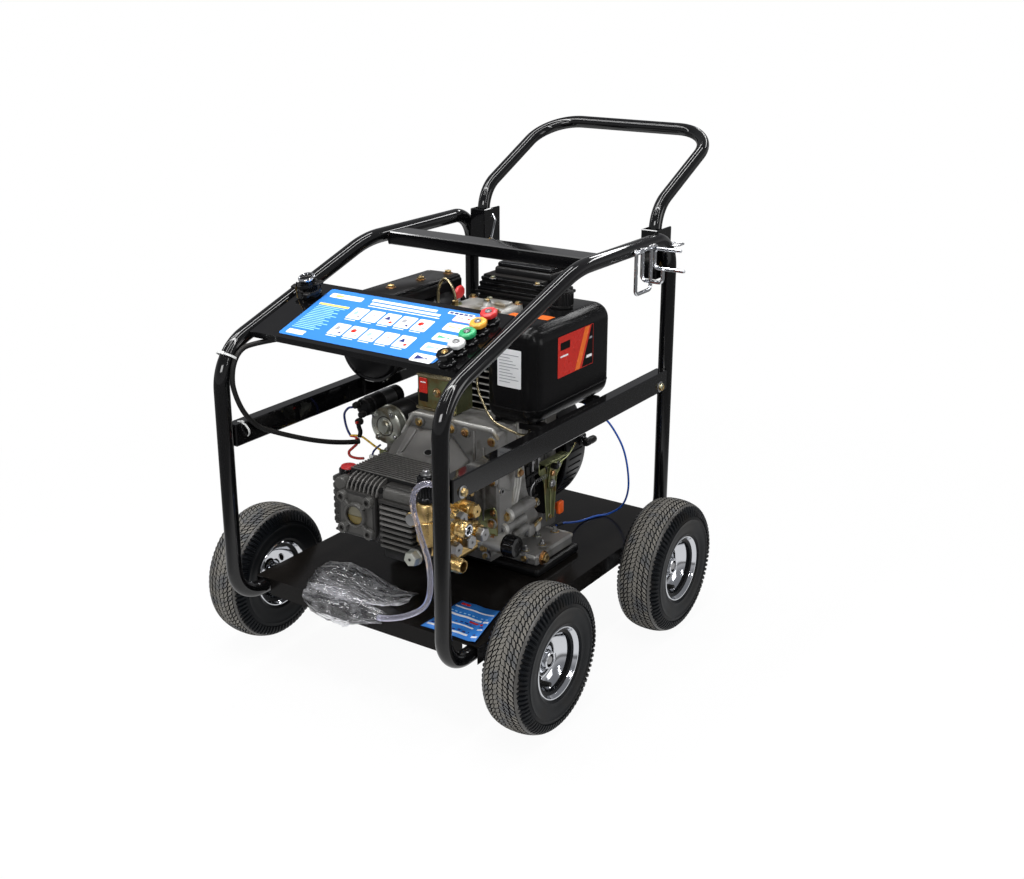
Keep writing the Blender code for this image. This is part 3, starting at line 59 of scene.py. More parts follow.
random.seed(7)

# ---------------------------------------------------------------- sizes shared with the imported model

TUBE_R = 14
HOOP_X = 232
POST_Y = 370
HOOP_LOW_Z, HOOP_TOP_Z = 154, 745
SLOPE = radians(18.2)
SLOPE_START_Z = 614.5
FRONT_BEND_R, UPPER_BEND_R, CORNER_BEND_R = 90, 250, 60
TRAY_TOP_Z = 170.8
PANEL_RISE = 8
NOZZLE_X, NOZZLE_FIRST_Y, NOZZLE_PITCH = 190, -291.5, 31.5
SWITCH_X, SWITCH_Y = -186, -183
WHEEL_X = 312.6
WHEEL_YS = {"front": -205.6, "rear": 241.7}
TYRE_R = 130
HANDLE_TUBE_R = 12.5
HANDLE_X, HANDLE_Y = 200, 368
PIVOT_Z = 690
HANDLE_FOOT = 14
HANDLE_BEND_Z = 792
HANDLE_BAR_Y = 620
HANDLE_RISE = radians(25.5)
HANDLE_LOW_BEND_R, HANDLE_TOP_BEND_R = 70, 85
HOOK_R = 3.5
HOOK_LOW_Z, HOOK_TOP_Z = 665, 741
HOOK_FRONT_Y, HOOK_REAR_Y = 205, 262
CRANK_Z = 347
STARTER_X, STARTER_Z = -101.6, 430
UNLOADER_X, UNLOADER_Y = 138, -284.5
BELL_LEFT = 0.72  # share of the bell's half width on its left side
TREAD_BLOCKS, SHOULDER_TEETH, SHOULDER_LUGS = 84, 96, 80  # round one tyre
FILM_POINTS, FILM_CREASES = 132, 54
FILM_LOW_Z, FILM_EDGE_Z = TRAY_TOP_Z + 1.2, 142  # the film's lowest level on the tray, and in front of it

SIDES = {-1: "left", 1: "right"}
AXES = {
    "X": Matrix(((0, 0, 1, 0), (1, 0, 0, 0), (0, 1, 0, 0), (0, 0, 0, 1))),
    "-X": Matrix(((0, 0, -1, 0), (-1, 0, 0, 0), (0, 1, 0, 0), (0, 0, 0, 1))),
    "Y": Matrix(((0, 1, 0, 0), (0, 0, 1, 0), (1, 0, 0, 0), (0, 0, 0, 1))),
    "-Y": Matrix(((1, 0, 0, 0), (0, 0, -1, 0), (0, 1, 0, 0), (0, 0, 0, 1))),
    "Z": Matrix.Identity(4),
    "-Z": Matrix(((1, 0, 0, 0), (0, -1, 0, 0), (0, 0, -1, 0), (0, 0, 0, 1))),
}


# ---------------------------------------------------------------- materials

def plug(tree, node, inputs):
    """Sets a node's inputs, by name or number, to plain values or to other nodes' outputs."""
    for key, value in inputs.items():
        if isinstance(value, bpy.types.NodeSocket):
            tree.links.new(value, node.inputs[key])
        else:
            node.inputs[key].default_value = value


def add_node(tree, kind, output, inputs=None, **settings):
    """A new shader node's output."""
    node = tree.nodes.new("ShaderNode" + kind)
    for key, value in settings.items():
        setattr(node, key, value)
    plug(tree, node, inputs or {})
    return node.outputs[output]


def combine(tree, operation, first, second):
    return add_node(tree, "Math", "Value", {0: first, 1: second}, operation=operation)


def mapped(tree, value, low, high, start=0.0, end=1.0):
    return add_node(tree, "MapRange", "Result", {"Value": value, "From Min": low, "From Max": high,
                                                 "To Min": start, "To Max": end})


def mixed(tree, share, first, second):
    return add_node(tree, "Mix", "Result", {"Factor": share, "A": first, "B": second}, data_type="RGBA")


def shade(name, colour, roughness, metallic=0.0, vary=0.12, scale=40, grain=300, bump=0.08, rough_vary=0.10,
          coat=0.0, specular=0.5, dust=0.0, dust_colour=(0.22, 0.18, 0.14), patches=None, patch_amount=0.0):
    """A finish with cloudy colour, uneven gloss, fine grain and, where asked, dust on what faces up and patches."""
    made = bpy.data.materials.new(name)
    made.use_nodes = True
    tree = made.node_tree
    place = add_node(tree, "TexCoord", "Object")
    cloud = add_node(tree, "TexNoise", "Fac", {"Scale": scale, "Detail": 5, "Vector": place})
    base = mixed(tree, cloud, (*[c * (1 - vary) for c in colour], 1), (*[min(1, c * (1 + vary)) for c in colour], 1))
    if patches:
        spots = add_node(tree, "TexNoise", "Fac", {"Scale": scale * 0.6, "Detail": 6, "Vector": place})
        edge = mapped(tree, spots, 0.62 - patch_amount * 0.3, 0.74 - patch_amount * 0.3)
        base = mixed(tree, edge, base, (*patches, 1))
    if dust:
        normal = add_node(tree, "NewGeometry", "Normal")
        upward = add_node(tree, "SeparateXYZ", "Z", {"Vector": normal})
        share = combine(tree, "MULTIPLY", mapped(tree, upward, 0.2, 1.0, 0.0, dust * 1.6), cloud)
        base = mixed(tree, share, base, (*dust_colour, 1))
    gloss = mapped(tree, cloud, 0.0, 1.0, max(0.02, roughness - rough_vary), min(1.0, roughness + rough_vary))
    shader = tree.nodes["Principled BSDF"]
    plug(tree, shader, {"Base Color": base, "Roughness": gloss, "Metallic": metallic, "Coat Weight": coat,
                        "Coat Roughness": 0.06, "Specular IOR Level": specular})
    if bump:
        fine = add_node(tree, "TexNoise", "Fac", {"Scale": grain, "Detail": 3, "Vector": place})
        relief = add_node(tree, "Bump", "Normal", {"Strength": bump, "Distance": 0.001, "Height": fine})
        plug(tree, shader, {"Normal": relief})
    return made


def clear(name, colour, roughness, ior, transmission, coat):
    """A see-through finish without grain."""
    made = shade(name, colour, roughness, vary=0.05, scale=60, bump=0, rough_vary=0.03, coat=coat)
    plug(made.node_tree, made.node_tree.nodes["Principled BSDF"], {"Transmission Weight": transmission, "IOR": ior})
    return made


def film(name):
    """Clear glossy film, hazy along its streaks."""
    made = clear(name, (0.93, 0.93, 0.97), 0.06, 1.04, 1.0, 1.0)
    tree = made.node_tree
    streak = add_node(tree, "TexNoise", "Fac", {"Scale": 34, "Detail": 5, "Distortion": 1.6,
                                                "Vector": add_node(tree, "TexCoord", "Object")})
    relief = add_node(tree, "Bump", "Normal", {"Strength": 0.6, "Distance": 0.003, "Height": streak})
    plug(tree, tree.nodes["Principled BSDF"], {"Transmission Weight": mapped(tree, streak, 0.54, 0.74, 0.995, 0.84),
                                               "Coat Roughness": 0.05, "Coat Normal": relief})
    return made


def plastic(name, colour, roughness=0.34, vary=0.12, bump=0.04):
    return shade(name, colour, roughness, vary=vary, bump=bump)


def print_ink(name, colour, roughness=0.28, vary=0.05):
    return shade(name, colour, roughness, vary=vary, bump=0.01, specular=0.25)


PAINT = shade("black_paint", (0.0028, 0.0028, 0.0032), 0.06, vary=0.3, grain=60, bump=0.004, rough_vary=0.02,
              dust=0.006)
SATIN = shade("satin_black", (0.0055, 0.0055, 0.006), 0.32, vary=0.3, bump=0.05, rough_vary=0.08, specular=0.16,
              dust=0.02)
TRAY = shade("tray_black", (0.0045, 0.004, 0.0037), 0.17, vary=0.35, scale=14, grain=120, bump=0.03, specular=0.12,
             dust=0.035, dust_colour=(0.1, 0.085, 0.07))
PLASTIC = shade("black_plastic", (0.0085, 0.0085, 0.009), 0.36, vary=0.2, grain=700, bump=0.1, specular=0.22,
                dust=0.04)
GLOSS = shade("gloss_plastic", (0.0045, 0.0045, 0.005), 0.12, vary=0.2, bump=0.02, rough_vary=0.04, specular=0.25)
TANK = shade("tank_black", (0.004, 0.004, 0.0044), 0.24, vary=0.2, scale=20, grain=160, bump=0.015, rough_vary=0.05,
             specular=0.14, dust=0.006)
RUBBER = shade("rubber", (0.008, 0.008, 0.008), 0.55, vary=0.25, grain=420, bump=0.18, specular=0.2, dust=0.05)
SIDEWALL = shade("tyre_sidewall", (0.0046, 0.0056, 0.007), 0.4, vary=0.22, scale=26, grain=420, bump=0.1,
                 specular=0.11, patches=(0.0095, 0.0085, 0.0078), patch_amount=0.25)
TREAD = shade("tyre_tread", (0.172, 0.163, 0.146), 0.78, vary=0.3, scale=55, grain=520, bump=0.5, specular=0.2,
              patches=(0.11, 0.112, 0.115), patch_amount=0.45)
# Near-black rubber finish; elsewhere also laid in bores, windows and fin gaps as painted shade.
GROOVE = shade("tyre_groove", (0.006, 0.006, 0.006), 0.85, vary=0.3, bump=0.2, specular=0.1)
SHOULDER = shade("tyre_shoulder", (0.055, 0.052, 0.048), 0.36, vary=0.35, scale=60, grain=420, bump=0.25,
                 specular=0.6)
CHROME = shade("chrome", (0.7, 0.715, 0.75), 0.1, 1.0, vary=0.06, scale=18, grain=60, bump=0.02, rough_vary=0.05)
STEEL = shade("bright_steel", (0.36, 0.36, 0.365), 0.34, 1.0, vary=0.15, bump=0.05)
DARK_STEEL = shade("dark_steel", (0.075, 0.072, 0.07), 0.38, 1.0, vary=0.25, bump=0.12)
ZINC = shade("yellow_zinc", (0.5, 0.35, 0.15), 0.3, 1.0, vary=0.25, scale=90, bump=0.05, patches=(0.42, 0.44, 0.34),
             patch_amount=0.35)
COPPER = shade("copper_zinc", (0.46, 0.25, 0.12), 0.3, 1.0, vary=0.3, scale=90, bump=0.06)
OLIVE = shade("olive_zinc", (0.31, 0.33, 0.165), 0.34, 1.0, vary=0.25, scale=60, bump=0.05, patches=(0.3, 0.2, 0.08),
              patch_amount=0.3)
GOLD_PIPE = shade("gold_pipe", (0.4, 0.34, 0.21), 0.26, 1.0, vary=0.2, bump=0.03)
BRASS = shade("brass", (0.64, 0.45, 0.19), 0.28, 1.0, vary=0.22, scale=70, patches=(0.36, 0.23, 0.09),
              patch_amount=0.1)
CASTING = shade("cast_aluminium", (0.205, 0.202, 0.195), 0.44, 0.45, vary=0.26, scale=34, grain=520, bump=0.45,
                dust=0.05, patches=(0.085, 0.08, 0.072), patch_amount=0.3)
BRIGHT = shade("bright_casting", (0.5, 0.495, 0.47), 0.34, 0.45, vary=0.2, grain=520, bump=0.3,
                       patches=(0.2, 0.17, 0.12), patch_amount=0.25)
PUMP = shade("dark_casting", (0.03, 0.029, 0.028), 0.4, 0.25, vary=0.25, grain=620, bump=0.35, specular=0.3, dust=0.1,
             dust_colour=(0.13, 0.12, 0.105))
# A paler copy of the dark casting for raised ribs, bosses, rims and upper fins: painted highlight.
PUMP_HIGHLIGHT = shade("pump_highlight_casting", (0.07, 0.068, 0.064), 0.38, 0.25, vary=0.2, scale=60, grain=620, bump=0.12,
                  specular=0.35)
BELL = shade("bell_casting", (0.135, 0.131, 0.125), 0.44, 0.4, vary=0.26, scale=34, grain=520, bump=0.45, dust=0.05)
# Pale finish for the pump's fin tips and thin fins: painted highlight.
FIN_HIGHLIGHT = shade("fin_tip_highlight", (0.15, 0.145, 0.138), 0.36, 0.35, vary=0.22, scale=60, grain=620, bump=0.12,
                 specular=0.4)
BLACK_FIN = shade("black_fin", (0.01, 0.01, 0.01), 0.42, 0.1, vary=0.3, grain=520, bump=0.3, specular=0.25)
PLATED = shade("plated_steel", (0.46, 0.47, 0.42), 0.3, 0.85, vary=0.22, scale=60, bump=0.06,
               patches=(0.2, 0.18, 0.13), patch_amount=0.3)
WHITE = plastic("white_plastic", (0.66, 0.67, 0.66), vary=0.06)
GREEN = plastic("green_plastic", (0.022, 0.36, 0.13), vary=0.1)
YELLOW = plastic("yellow_plastic", (0.78, 0.36, 0.035), vary=0.1)
RED = plastic("red_plastic", (0.62, 0.03, 0.032))
ORANGE = plastic("orange_plastic", (0.86, 0.115, 0.012), 0.36, bump=0.05)
BLUE_WIRE = plastic("blue_wire", (0.018, 0.1, 0.5), bump=0.03)
DARK_BLUE = plastic("dark_blue_wire", (0.012, 0.022, 0.13), 0.4, vary=0.15, bump=0.03)
RED_WIRE = plastic("red_wire", (0.42, 0.022, 0.015), 0.38, vary=0.15, bump=0.03)
YELLOW_WIRE = plastic("yellow_wire", (0.66, 0.42, 0.03), 0.4, vary=0.15, bump=0.03)
INK_BLUE = shade("decal_blue", (0.036, 0.205, 0.63), 0.26, vary=0.05, scale=9, bump=0.01, rough_vary=0.05,
                   specular=0.25)
INK_NAVY = print_ink("decal_navy", (0.012, 0.022, 0.16), vary=0.06)
INK_WHITE = print_ink("decal_white", (0.82, 0.83, 0.84), 0.3, vary=0.03)
INK_YELLOW = print_ink("decal_yellow", (0.86, 0.68, 0.16), 0.3, vary=0.04)
INK_RED = print_ink("decal_red", (0.52, 0.022, 0.014), 0.26)
INK_ORANGE = print_ink("decal_orange", (0.78, 0.15, 0.02), 0.26)
INK_GREEN = print_ink("decal_green", (0.04, 0.42, 0.22))
INK_SKY = print_ink("decal_sky", (0.3, 0.62, 0.86))
INK_GREY = print_ink("decal_grey", (0.3, 0.31, 0.34), 0.32)
HOSE = clear("clear_hose", (0.78, 0.77, 0.94), 0.08, 1.36, 0.90, 0.8)
FILM = film("clear_film")
GAUGE_TOP = shade("gauge_upper", (0.135, 0.125, 0.085), 0.3, vary=0.2, scale=120, bump=0.03, coat=0.5)
GAUGE_LOW = shade("gauge_oil", (0.13, 0.096, 0.022), 0.25, vary=0.2, scale=120, bump=0.03, coat=0.5)


# ---------------------------------------------------------------- mesh tools

def metres(point):
    return Vector([number * MM for number in point])


def at(x, y, z, axis="Z"):
    """A place, with Z turned to the named axis."""
    return Matrix.Translation(metres((x, y, z))) @ AXES[axis]


def spin(angle, axis="Z"):
    return Matrix.Rotation(angle, 4, axis)


def turns(count, start=0.0):
    """Equal turns about Z, all the way round."""
    return [spin(2 * pi * (k + start) / count) for k in range(count)]


def softened(part, width, segments=2):
    if width > 0:
        bmesh.ops.bevel(part, geom=part.edges[:], offset=width * MM, segments=segments, profile=0.5, affect="EDGES",
                        clamp_overlap=True)
    return part


def block(low, high, bevel=0, segments=2):
    part = bmesh.new()
    bmesh.ops.create_cube(part, size=1)
    low, high = metres(low), metres(high)
    grow = Matrix.Diagonal((*(high - low), 1))
    bmesh.ops.transform(part, matrix=Matrix.Translation((low + high) / 2) @ grow, verts=part.verts)
    return softened(part, bevel, segments)


def skin(part, rings, closed=False, wrap=True, caps=False):
    """Joins rings of vertices with faces; a ring of one vertex closes to a point."""
    for low, high in list(zip(rings, rings[1:])) + ([(rings[-1], rings[0])] if closed else []):
        for k in range(max(len(low), len(high)) - (not wrap)):
            j = k + 1
            corners = [low[k % len(low)], low[j % len(low)], high[j % len(high)], high[k % len(high)]]
            corners = list(dict.fromkeys(corners))
            if len(corners) > 2:
                part.faces.new(corners)
    if caps:
        part.faces.new(rings[0])
        part.faces.new(rings[-1])
    bmesh.ops.recalc_face_normals(part, faces=part.faces)
    return part


def turned(profile, steps=48, closed=False):
    """A body of revolution about Z from (radius, height) points."""
    part = bmesh.new()
    rings = []
    for radius, height in profile:
        radius, height = radius * MM, height * MM
        angles = [2 * pi * k / steps for k in range(steps if radius else 1)]
        rings.append([part.verts.new((radius * cos(angle), radius * sin(angle), height)) for angle in angles])
    return skin(part, rings, closed)


def rod(radius, length, steps=32, chamfer=0):
    return turned([(0, 0), (radius - chamfer, 0), (radius, chamfer), (radius, length - chamfer),
                   (radius - chamfer, length), (0, length)] if chamfer else
                  [(0, 0), (radius, 0), (radius, length), (0, length)], steps)


def sleeve(inner, outer, low, high, steps):
    """A plain ring with square edges."""
    return turned([(inner, low), (outer, low), (outer, high), (inner, high)], steps, True)


def prism(outline, axis, low, high, bevel=0, segments=2):
    """A flat outline pushed along an axis; the outline's two numbers are the other two axes, in order."""
    part = bmesh.new()
    slot = "XYZ".index(axis)
    ends = [[part.verts.new(metres([*point[:slot], level, *point[slot:]])) for point in outline]
            for level in (low, high)]
    for end in ends:
        part.faces.new(end)
    return softened(skin(part, ends), bevel, segments)


def loft(rings):
    """A skin through rings of equally many points, closed at both ends."""
    part = bmesh.new()
    return skin(part, [[part.verts.new(metres(point)) for point in ring] for ring in rings], caps=True)


def circle(steps):
    return [2 * pi * k / steps for k in range(steps)]


def oval(radius_a, radius_b):
    return [(radius_a * cos(angle), radius_b * sin(angle)) for angle in circle(28)]


def rounded(low, high, radius, steps=5):
    """Corners of a rectangle in the plane, each replaced by an arc."""
    made = []
    for index, (a, b) in enumerate(((high[0], high[1]), (low[0], high[1]), (low[0], low[1]), (high[0], low[1]))):
        middle = (a - copysign(radius, a - (low[0] + high[0]) / 2),
                  b - copysign(radius, b - (low[1] + high[1]) / 2))
        for step in range(steps + 1):
            angle = pi / 2 * (index + step / steps)
            made.append((middle[0] + radius * cos(angle), middle[1] + radius * sin(angle)))
    return made


def swept(path, radius, sides=16, closed=False):
    """A tube along a path. The radius is a number or one number for each point."""
    part = bmesh.new()
    points = [Vector(point) for point in path]
    count = len(points)
    radii = radius if isinstance(radius, list) else [radius] * count
    tangents = []
    for k in range(count):
        before = points[(k - 1) % count] if closed or k else points[k]
        after = points[(k + 1) % count] if closed or k < count - 1 else points[k]
        tangents.append((after - before).normalized())
    normal = tangents[0].orthogonal().normalized()
    rings = []
    for k in range(count):
        if k:
            normal = tangents[k - 1].rotation_difference(tangents[k]) @ normal
        side = tangents[k].cross(normal)
        rings.append([part.verts.new((points[k] + radii[k] * (cos(turn) * normal + sin(turn) * side)) * MM)
                      for turn in circle(sides)])
    return skin(part, rings, closed, caps=not closed)


def bent(points, radii, steps, closed=False):
    """Points with each inner corner replaced by an arc; the radius is a number or one number for each point."""
    corners = [Vector(point) for point in points]
    count = len(corners)
    radii = radii if isinstance(radii, list) else [radii] * count
    path = []
    for index, corner in enumerate(corners):
        if not closed and index in (0, count - 1):
            path.append(corner)
            continue
        before = (corners[index - 1] - corner).normalized()
        after = (corners[(index + 1) % count] - corner).normalized()
        half = before.angle(after) / 2
        reach = radii[index] / tan(half)
        centre = corner + (before + after).normalized() * (radii[index] / sin(half))
        first = corner + before * reach - centre
        last = corner + after * reach - centre
        sweep = first.angle(last)
        for step in range(steps + 1):
            share = step / steps
            arm = first * sin((1 - share) * sweep) + last * sin(share * sweep)
            path.append(centre + arm / sin(sweep))
    return path


def smooth(points, spacing):
    """Evenly spaced points on a smooth curve through the given points."""
    places = [Vector(point) for point in points]
    places = [places[0] * 2 - places[1]] + places + [places[-1] * 2 - places[-2]]
    dense = []
    for index in range(1, len(places) - 2):
        p0, p1, p2, p3 = places[index - 1:index + 3]
        for step in range(24):
            t = step / 24
            dense.append(0.5 * (2 * p1 + (p2 - p0) * t + (2 * p0 - 5 * p1 + 4 * p2 - p3) * t * t
                                + (3 * p1 - p0 - 3 * p2 + p3) * t ** 3))
    dense.append(places[-2])
    lengths = [0.0]
    for before, after in zip(dense, dense[1:]):
        lengths.append(lengths[-1] + (after - before).length)
    count = max(2, round(lengths[-1] / spacing))
    route = []
    index = 0
    for step in range(count + 1):
        target = lengths[-1] * step / count
        while index < len(dense) - 2 and lengths[index + 1] < target:
            index += 1
        share = (target - lengths[index]) / (lengths[index + 1] - lengths[index])
        route.append(dense[index].lerp(dense[index + 1], share))
    return route


class Body:
    """Primitives gathered into one mesh, with a finish for each."""

    def __init__(self):
        self.mesh = bmesh.new()
        self.finishes = []

    def add(self, part, finish, place=None):
        if place is not None:
            bmesh.ops.transform(part, matrix=place, verts=part.verts)
        if finish not in self.finishes:
            self.finishes.append(finish)
        index = self.finishes.index(finish)
        for face in part.faces:
            face.material_index = index
        holder = bpy.data.meshes.new("holder")
        part.to_mesh(holder)
        part.free()
        self.mesh.from_mesh(holder)
        bpy.data.meshes.remove(holder)

    def turn(self, steps, finish, place, *profile):
        """A body of revolution that is closed to its axis at both ends."""
        start = [(0, profile[0][1])] if profile[0][0] else []
        end = [(0, profile[-1][1])] if profile[-1][0] else []
        self.add(turned([*start, *profile, *end], steps), finish, place)

    def ribs(self, count, finish, place, low, high, bevel, segments=2):
        """Equal blocks in a ring about Z."""
        for turn in turns(count):
            self.add(block(low, high, bevel, segments), finish, place @ turn)

    def wire(self, finish, points, spacing, radius, sides, place=None):
        """A smooth round wire through a few points."""
        self.add(swept(smooth(points, spacing), radius, sides), finish, place)

    def bolt(self, place, axis, size, finish, washer, height=None):
        """A chamfered hex head on a flanged washer. Size is across the corners."""
        height = height or size * 0.36
        spot = at(*place, axis) @ spin(random.uniform(0, 1))
        base = size * 0.09
        self.turn(24, washer, spot, (size * 0.72, 0), (size * 0.72, base * 0.7), (size * 0.66, base))
        radius, top = size / 2, base + height
        self.turn(6, finish, spot, (radius, base), (radius, base + height * 0.82), (radius * 0.82, top),
                  (radius * 0.55, top), (radius * 0.5, base + height * 0.93))

    def data(self, name, angle=35):
        data = bpy.data.meshes.new(name)
        self.mesh.normal_update()
        self.mesh.to_mesh(data)
        self.mesh.free()
        for finish in self.finishes:
            data.materials.append(finish)
        data.polygons.foreach_set("use_smooth", [True] * len(data.polygons))
        data.set_sharp_from_angle(angle=radians(angle))
        return data

    def show(self, name, body, replaces=(), angle=35):
        return show(name, self.data(name, angle), body, replaces)


def show(name, data, body, replaces=(), place=SHIFT):
    made = bpy.data.objects.new(name, data)
    bpy.context.scene.collection.objects.link(made)
    made.matrix_world = place
    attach(made, body)
    if replaces:
        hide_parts(*replaces)
    return made


def repaint(finish, *names):
    for name in names:
        for slot in NODES[name].material_slots:
            slot.material = finish


def eased(width, segments, *names):
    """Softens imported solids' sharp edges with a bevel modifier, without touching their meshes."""
    for name in names:
        bevel = NODES[name].modifiers.new("ease", "BEVEL")
        bevel.width = width * MM
        bevel.segments = segments
        bevel.limit_method = "ANGLE"
        bevel.angle_limit = radians(40)
        bevel.harden_normals = False


# ---------------------------------------------------------------- camera and light

def camera():
    made = bpy.data.objects.new("camera", bpy.data.cameras.new("camera"))
    bpy.context.scene.collection.objects.link(made)
    right = Vector((0.82702568, 0.56216224, -0.0014637))
    up = Vector((-0.18027648, 0.26767835, 0.94649284))
    back = Vector((0.53247434, -0.78251001, 0.3227215))
    turn = Matrix((right, up, back)).transposed().to_4x4()
    made.matrix_world = Matrix.Translation((1.40701, -2.05710, 1.25848)) @ turn
    made.data.lens = 47.843
    made.data.sensor_width = 36
    made.data.shift_x = 0.01125
    made.data.shift_y = -0.02352
    bpy.context.scene.camera = made


def lamp(name, place, target, width, height, power):
    data = bpy.data.lights.new(name, "AREA")
    data.shape = "RECTANGLE"
    data.size, data.size_y = width, height
    data.energy = power
    made = bpy.data.objects.new(name, data)
    bpy.context.scene.collection.objects.link(made)
    aim = (Vector(target) - Vector(place)).to_track_quat("-Z", "Y")
    made.matrix_world = Matrix.Translation(place) @ aim.to_matrix().to_4x4()


def lights():
    lamp("top_soft", (-0.9, -0.5, 2.9), (0, 0, 0.3), 1.0, 1.6, 12)
    lamp("ceiling_left", (-0.5, -0.3, 2.4), (-0.5, -0.3, 0), 0.14, 3.2, 26)
    lamp("ceiling_right", (0.5, -0.3, 2.4), (0.5, -0.3, 0), 0.12, 3.2, 20)
    lamp("ceiling_across", (0, -0.8, 2.45), (0, -0.8, 0), 3.0, 0.14, 20)
    lamp("strip_left", (-1.7, -0.5, 2.2), (0, 0, 0.5), 0.07, 2.6, 12)
    lamp("strip_right", (1.9, -1.0, 2.2), (0, 0, 0.4), 0.08, 2.4, 14)
    lamp("front_soft", (0.6, -3.0, 1.7), (0, 0, 0.35), 1.3, 0.6, 26)
    lamp("side_card", (2.4, 0.7, 0.9), (0.3, 0, 0.2), 0.9, 1.1, 9)
    lamp("back_strip", (0.3, 2.4, 2.2), (0, 0, 0.6), 2.0, 0.12, 12)


def ray_shares(tree):
    """1 for camera and transmission rays, and 1 for glossy rays."""
    path = tree.nodes.new("ShaderNodeLightPath").outputs
    return combine(tree, "MAXIMUM", path["Is Camera Ray"], path["Is Transmission Ray"]), path["Is Glossy Ray"]


def world():
    """Grey surroundings, brighter below, that the camera sees as white."""
    made = bpy.data.worlds.new("world")
    bpy.context.scene.world = made
    made.use_nodes = True
    tree = made.node_tree
    height = add_node(tree, "SeparateXYZ", "Z", {"Vector": add_node(tree, "TexCoord", "Generated")})
    ramp = tree.nodes.new("ShaderNodeValToRGB")
    points = ramp.color_ramp.elements
    points[0].position, points[0].color = 0.10, (0.55, 0.55, 0.56, 1)
    points[1].position, points[1].color = 0.95, (0.24, 0.245, 0.26, 1)
    points.new(0.32).color = (0.28, 0.285, 0.30, 1)
    plug(tree, ramp, {"Fac": height})
    sky = tree.nodes["Background"]
    plug(tree, sky, {"Color": ramp.outputs["Color"], "Strength": 0.70})
    white = add_node(tree, "Background", "Background", {"Color": (1, 1, 1, 1)})
    seen, glossy = ray_shares(tree)
    share = combine(tree, "MAXIMUM", seen, combine(tree, "MULTIPLY", glossy, 0.03))
    blend = add_node(tree, "MixShader", "Shader", {"Fac": share, 1: sky.outputs["Background"], 2: white})
    plug(tree, tree.nodes["World Output"], {"Surface": blend})


def floor():
    """Pale floor: white to the camera and, near the object, to gloss, with the object's shadow kept."""
    finish = bpy.data.materials.new("floor")
    finish.use_nodes = True
    tree = finish.node_tree
    mottle = add_node(tree, "TexNoise", "Fac", {"Scale": 3})
    diffuse = tree.nodes["Principled BSDF"]
    plug(tree, diffuse, {"Roughness": 0.9, "Specular IOR Level": 0.1,
                         "Base Color": mixed(tree, mottle, (0.80, 0.80, 0.80, 1), (0.83, 0.83, 0.83, 1))})
    seen, glossy = ray_shares(tree)
    reach = add_node(tree, "VectorMath", "Value", {0: add_node(tree, "TexCoord", "Object")}, operation="LENGTH")
    loss = combine(tree, "MULTIPLY", glossy, mapped(tree, reach, 0.85, 1.25, 0.20, 0.82))
    glow = add_node(tree, "Emission", "Emission", {"Strength": combine(tree, "SUBTRACT", 1.0, loss)})
    share = combine(tree, "MULTIPLY", combine(tree, "MAXIMUM", seen, glossy), mapped(tree, reach, 0.7, 1.6, 0.95, 1.0))
    blend = add_node(tree, "MixShader", "Shader", {"Fac": share, 1: diffuse.outputs["BSDF"], 2: glow})
    plug(tree, tree.nodes["Material Output"], {"Surface": blend})
    part = bmesh.new()
    bmesh.ops.create_circle(part, cap_ends=True, segments=96, radius=9)
    data = bpy.data.meshes.new("floor")
    part.to_mesh(data)
    part.free()
    data.materials.append(finish)
    made = bpy.data.objects.new("floor", data)
    bpy.context.scene.collection.objects.link(made)


# ---------------------------------------------------------------- frame

def hoop(side):
    x = side * HOOP_X
    top_start_y = (HOOP_TOP_Z - SLOPE_START_Z) / tan(SLOPE) - POST_Y
    corners = [(x, -POST_Y, HOOP_LOW_Z), (x, -POST_Y, SLOPE_START_Z), (x, top_start_y, HOOP_TOP_Z),
        (x, POST_Y, HOOP_TOP_Z), (x, POST_Y, HOOP_LOW_Z)]
    radii = [CORNER_BEND_R, FRONT_BEND_R, UPPER_BEND_R, CORNER_BEND_R, CORNER_BEND_R]
    body = Body()
    body.add(swept(bent(corners, radii, 20, True), TUBE_R, 32, True), PAINT)
    for y in (-330, 327):
        body.bolt((side * 244.6, y, 457), "X" if side > 0 else "-X", 15, ZINC, STEEL)
    body.show(f"{SIDES[side]}_hoop_tube", "chassis", [f"{SIDES[side]}_side_hoop"], 60)


def handle():
    bar_z = HANDLE_BEND_Z + tan(HANDLE_RISE) * (HANDLE_BAR_Y - HANDLE_Y)
    corners = []
    for side in (-1, 1):
        leg = [(side * HANDLE_X, HANDLE_Y, PIVOT_Z - HANDLE_FOOT), (side * HANDLE_X, HANDLE_Y, HANDLE_BEND_Z),
            (side * HANDLE_X, HANDLE_BAR_Y, bar_z)]
        corners += leg if side < 0 else leg[::-1]
    radii = [0, HANDLE_LOW_BEND_R, HANDLE_TOP_BEND_R, HANDLE_TOP_BEND_R, HANDLE_LOW_BEND_R, 0]
    body = Body()
    body.add(swept(bent(corners, radii, 16), HANDLE_TUBE_R, 32), PAINT)
    for side in (-1, 1):
        foot = at(side * HANDLE_X, HANDLE_Y, PIVOT_Z - HANDLE_FOOT)
        body.turn(48, PLASTIC, foot, (10.5, -2), (12.6, 0), (12.8, 4), (12.6, 6))
    body.show("handle_tube", "handle", ["push_handle"], 60)


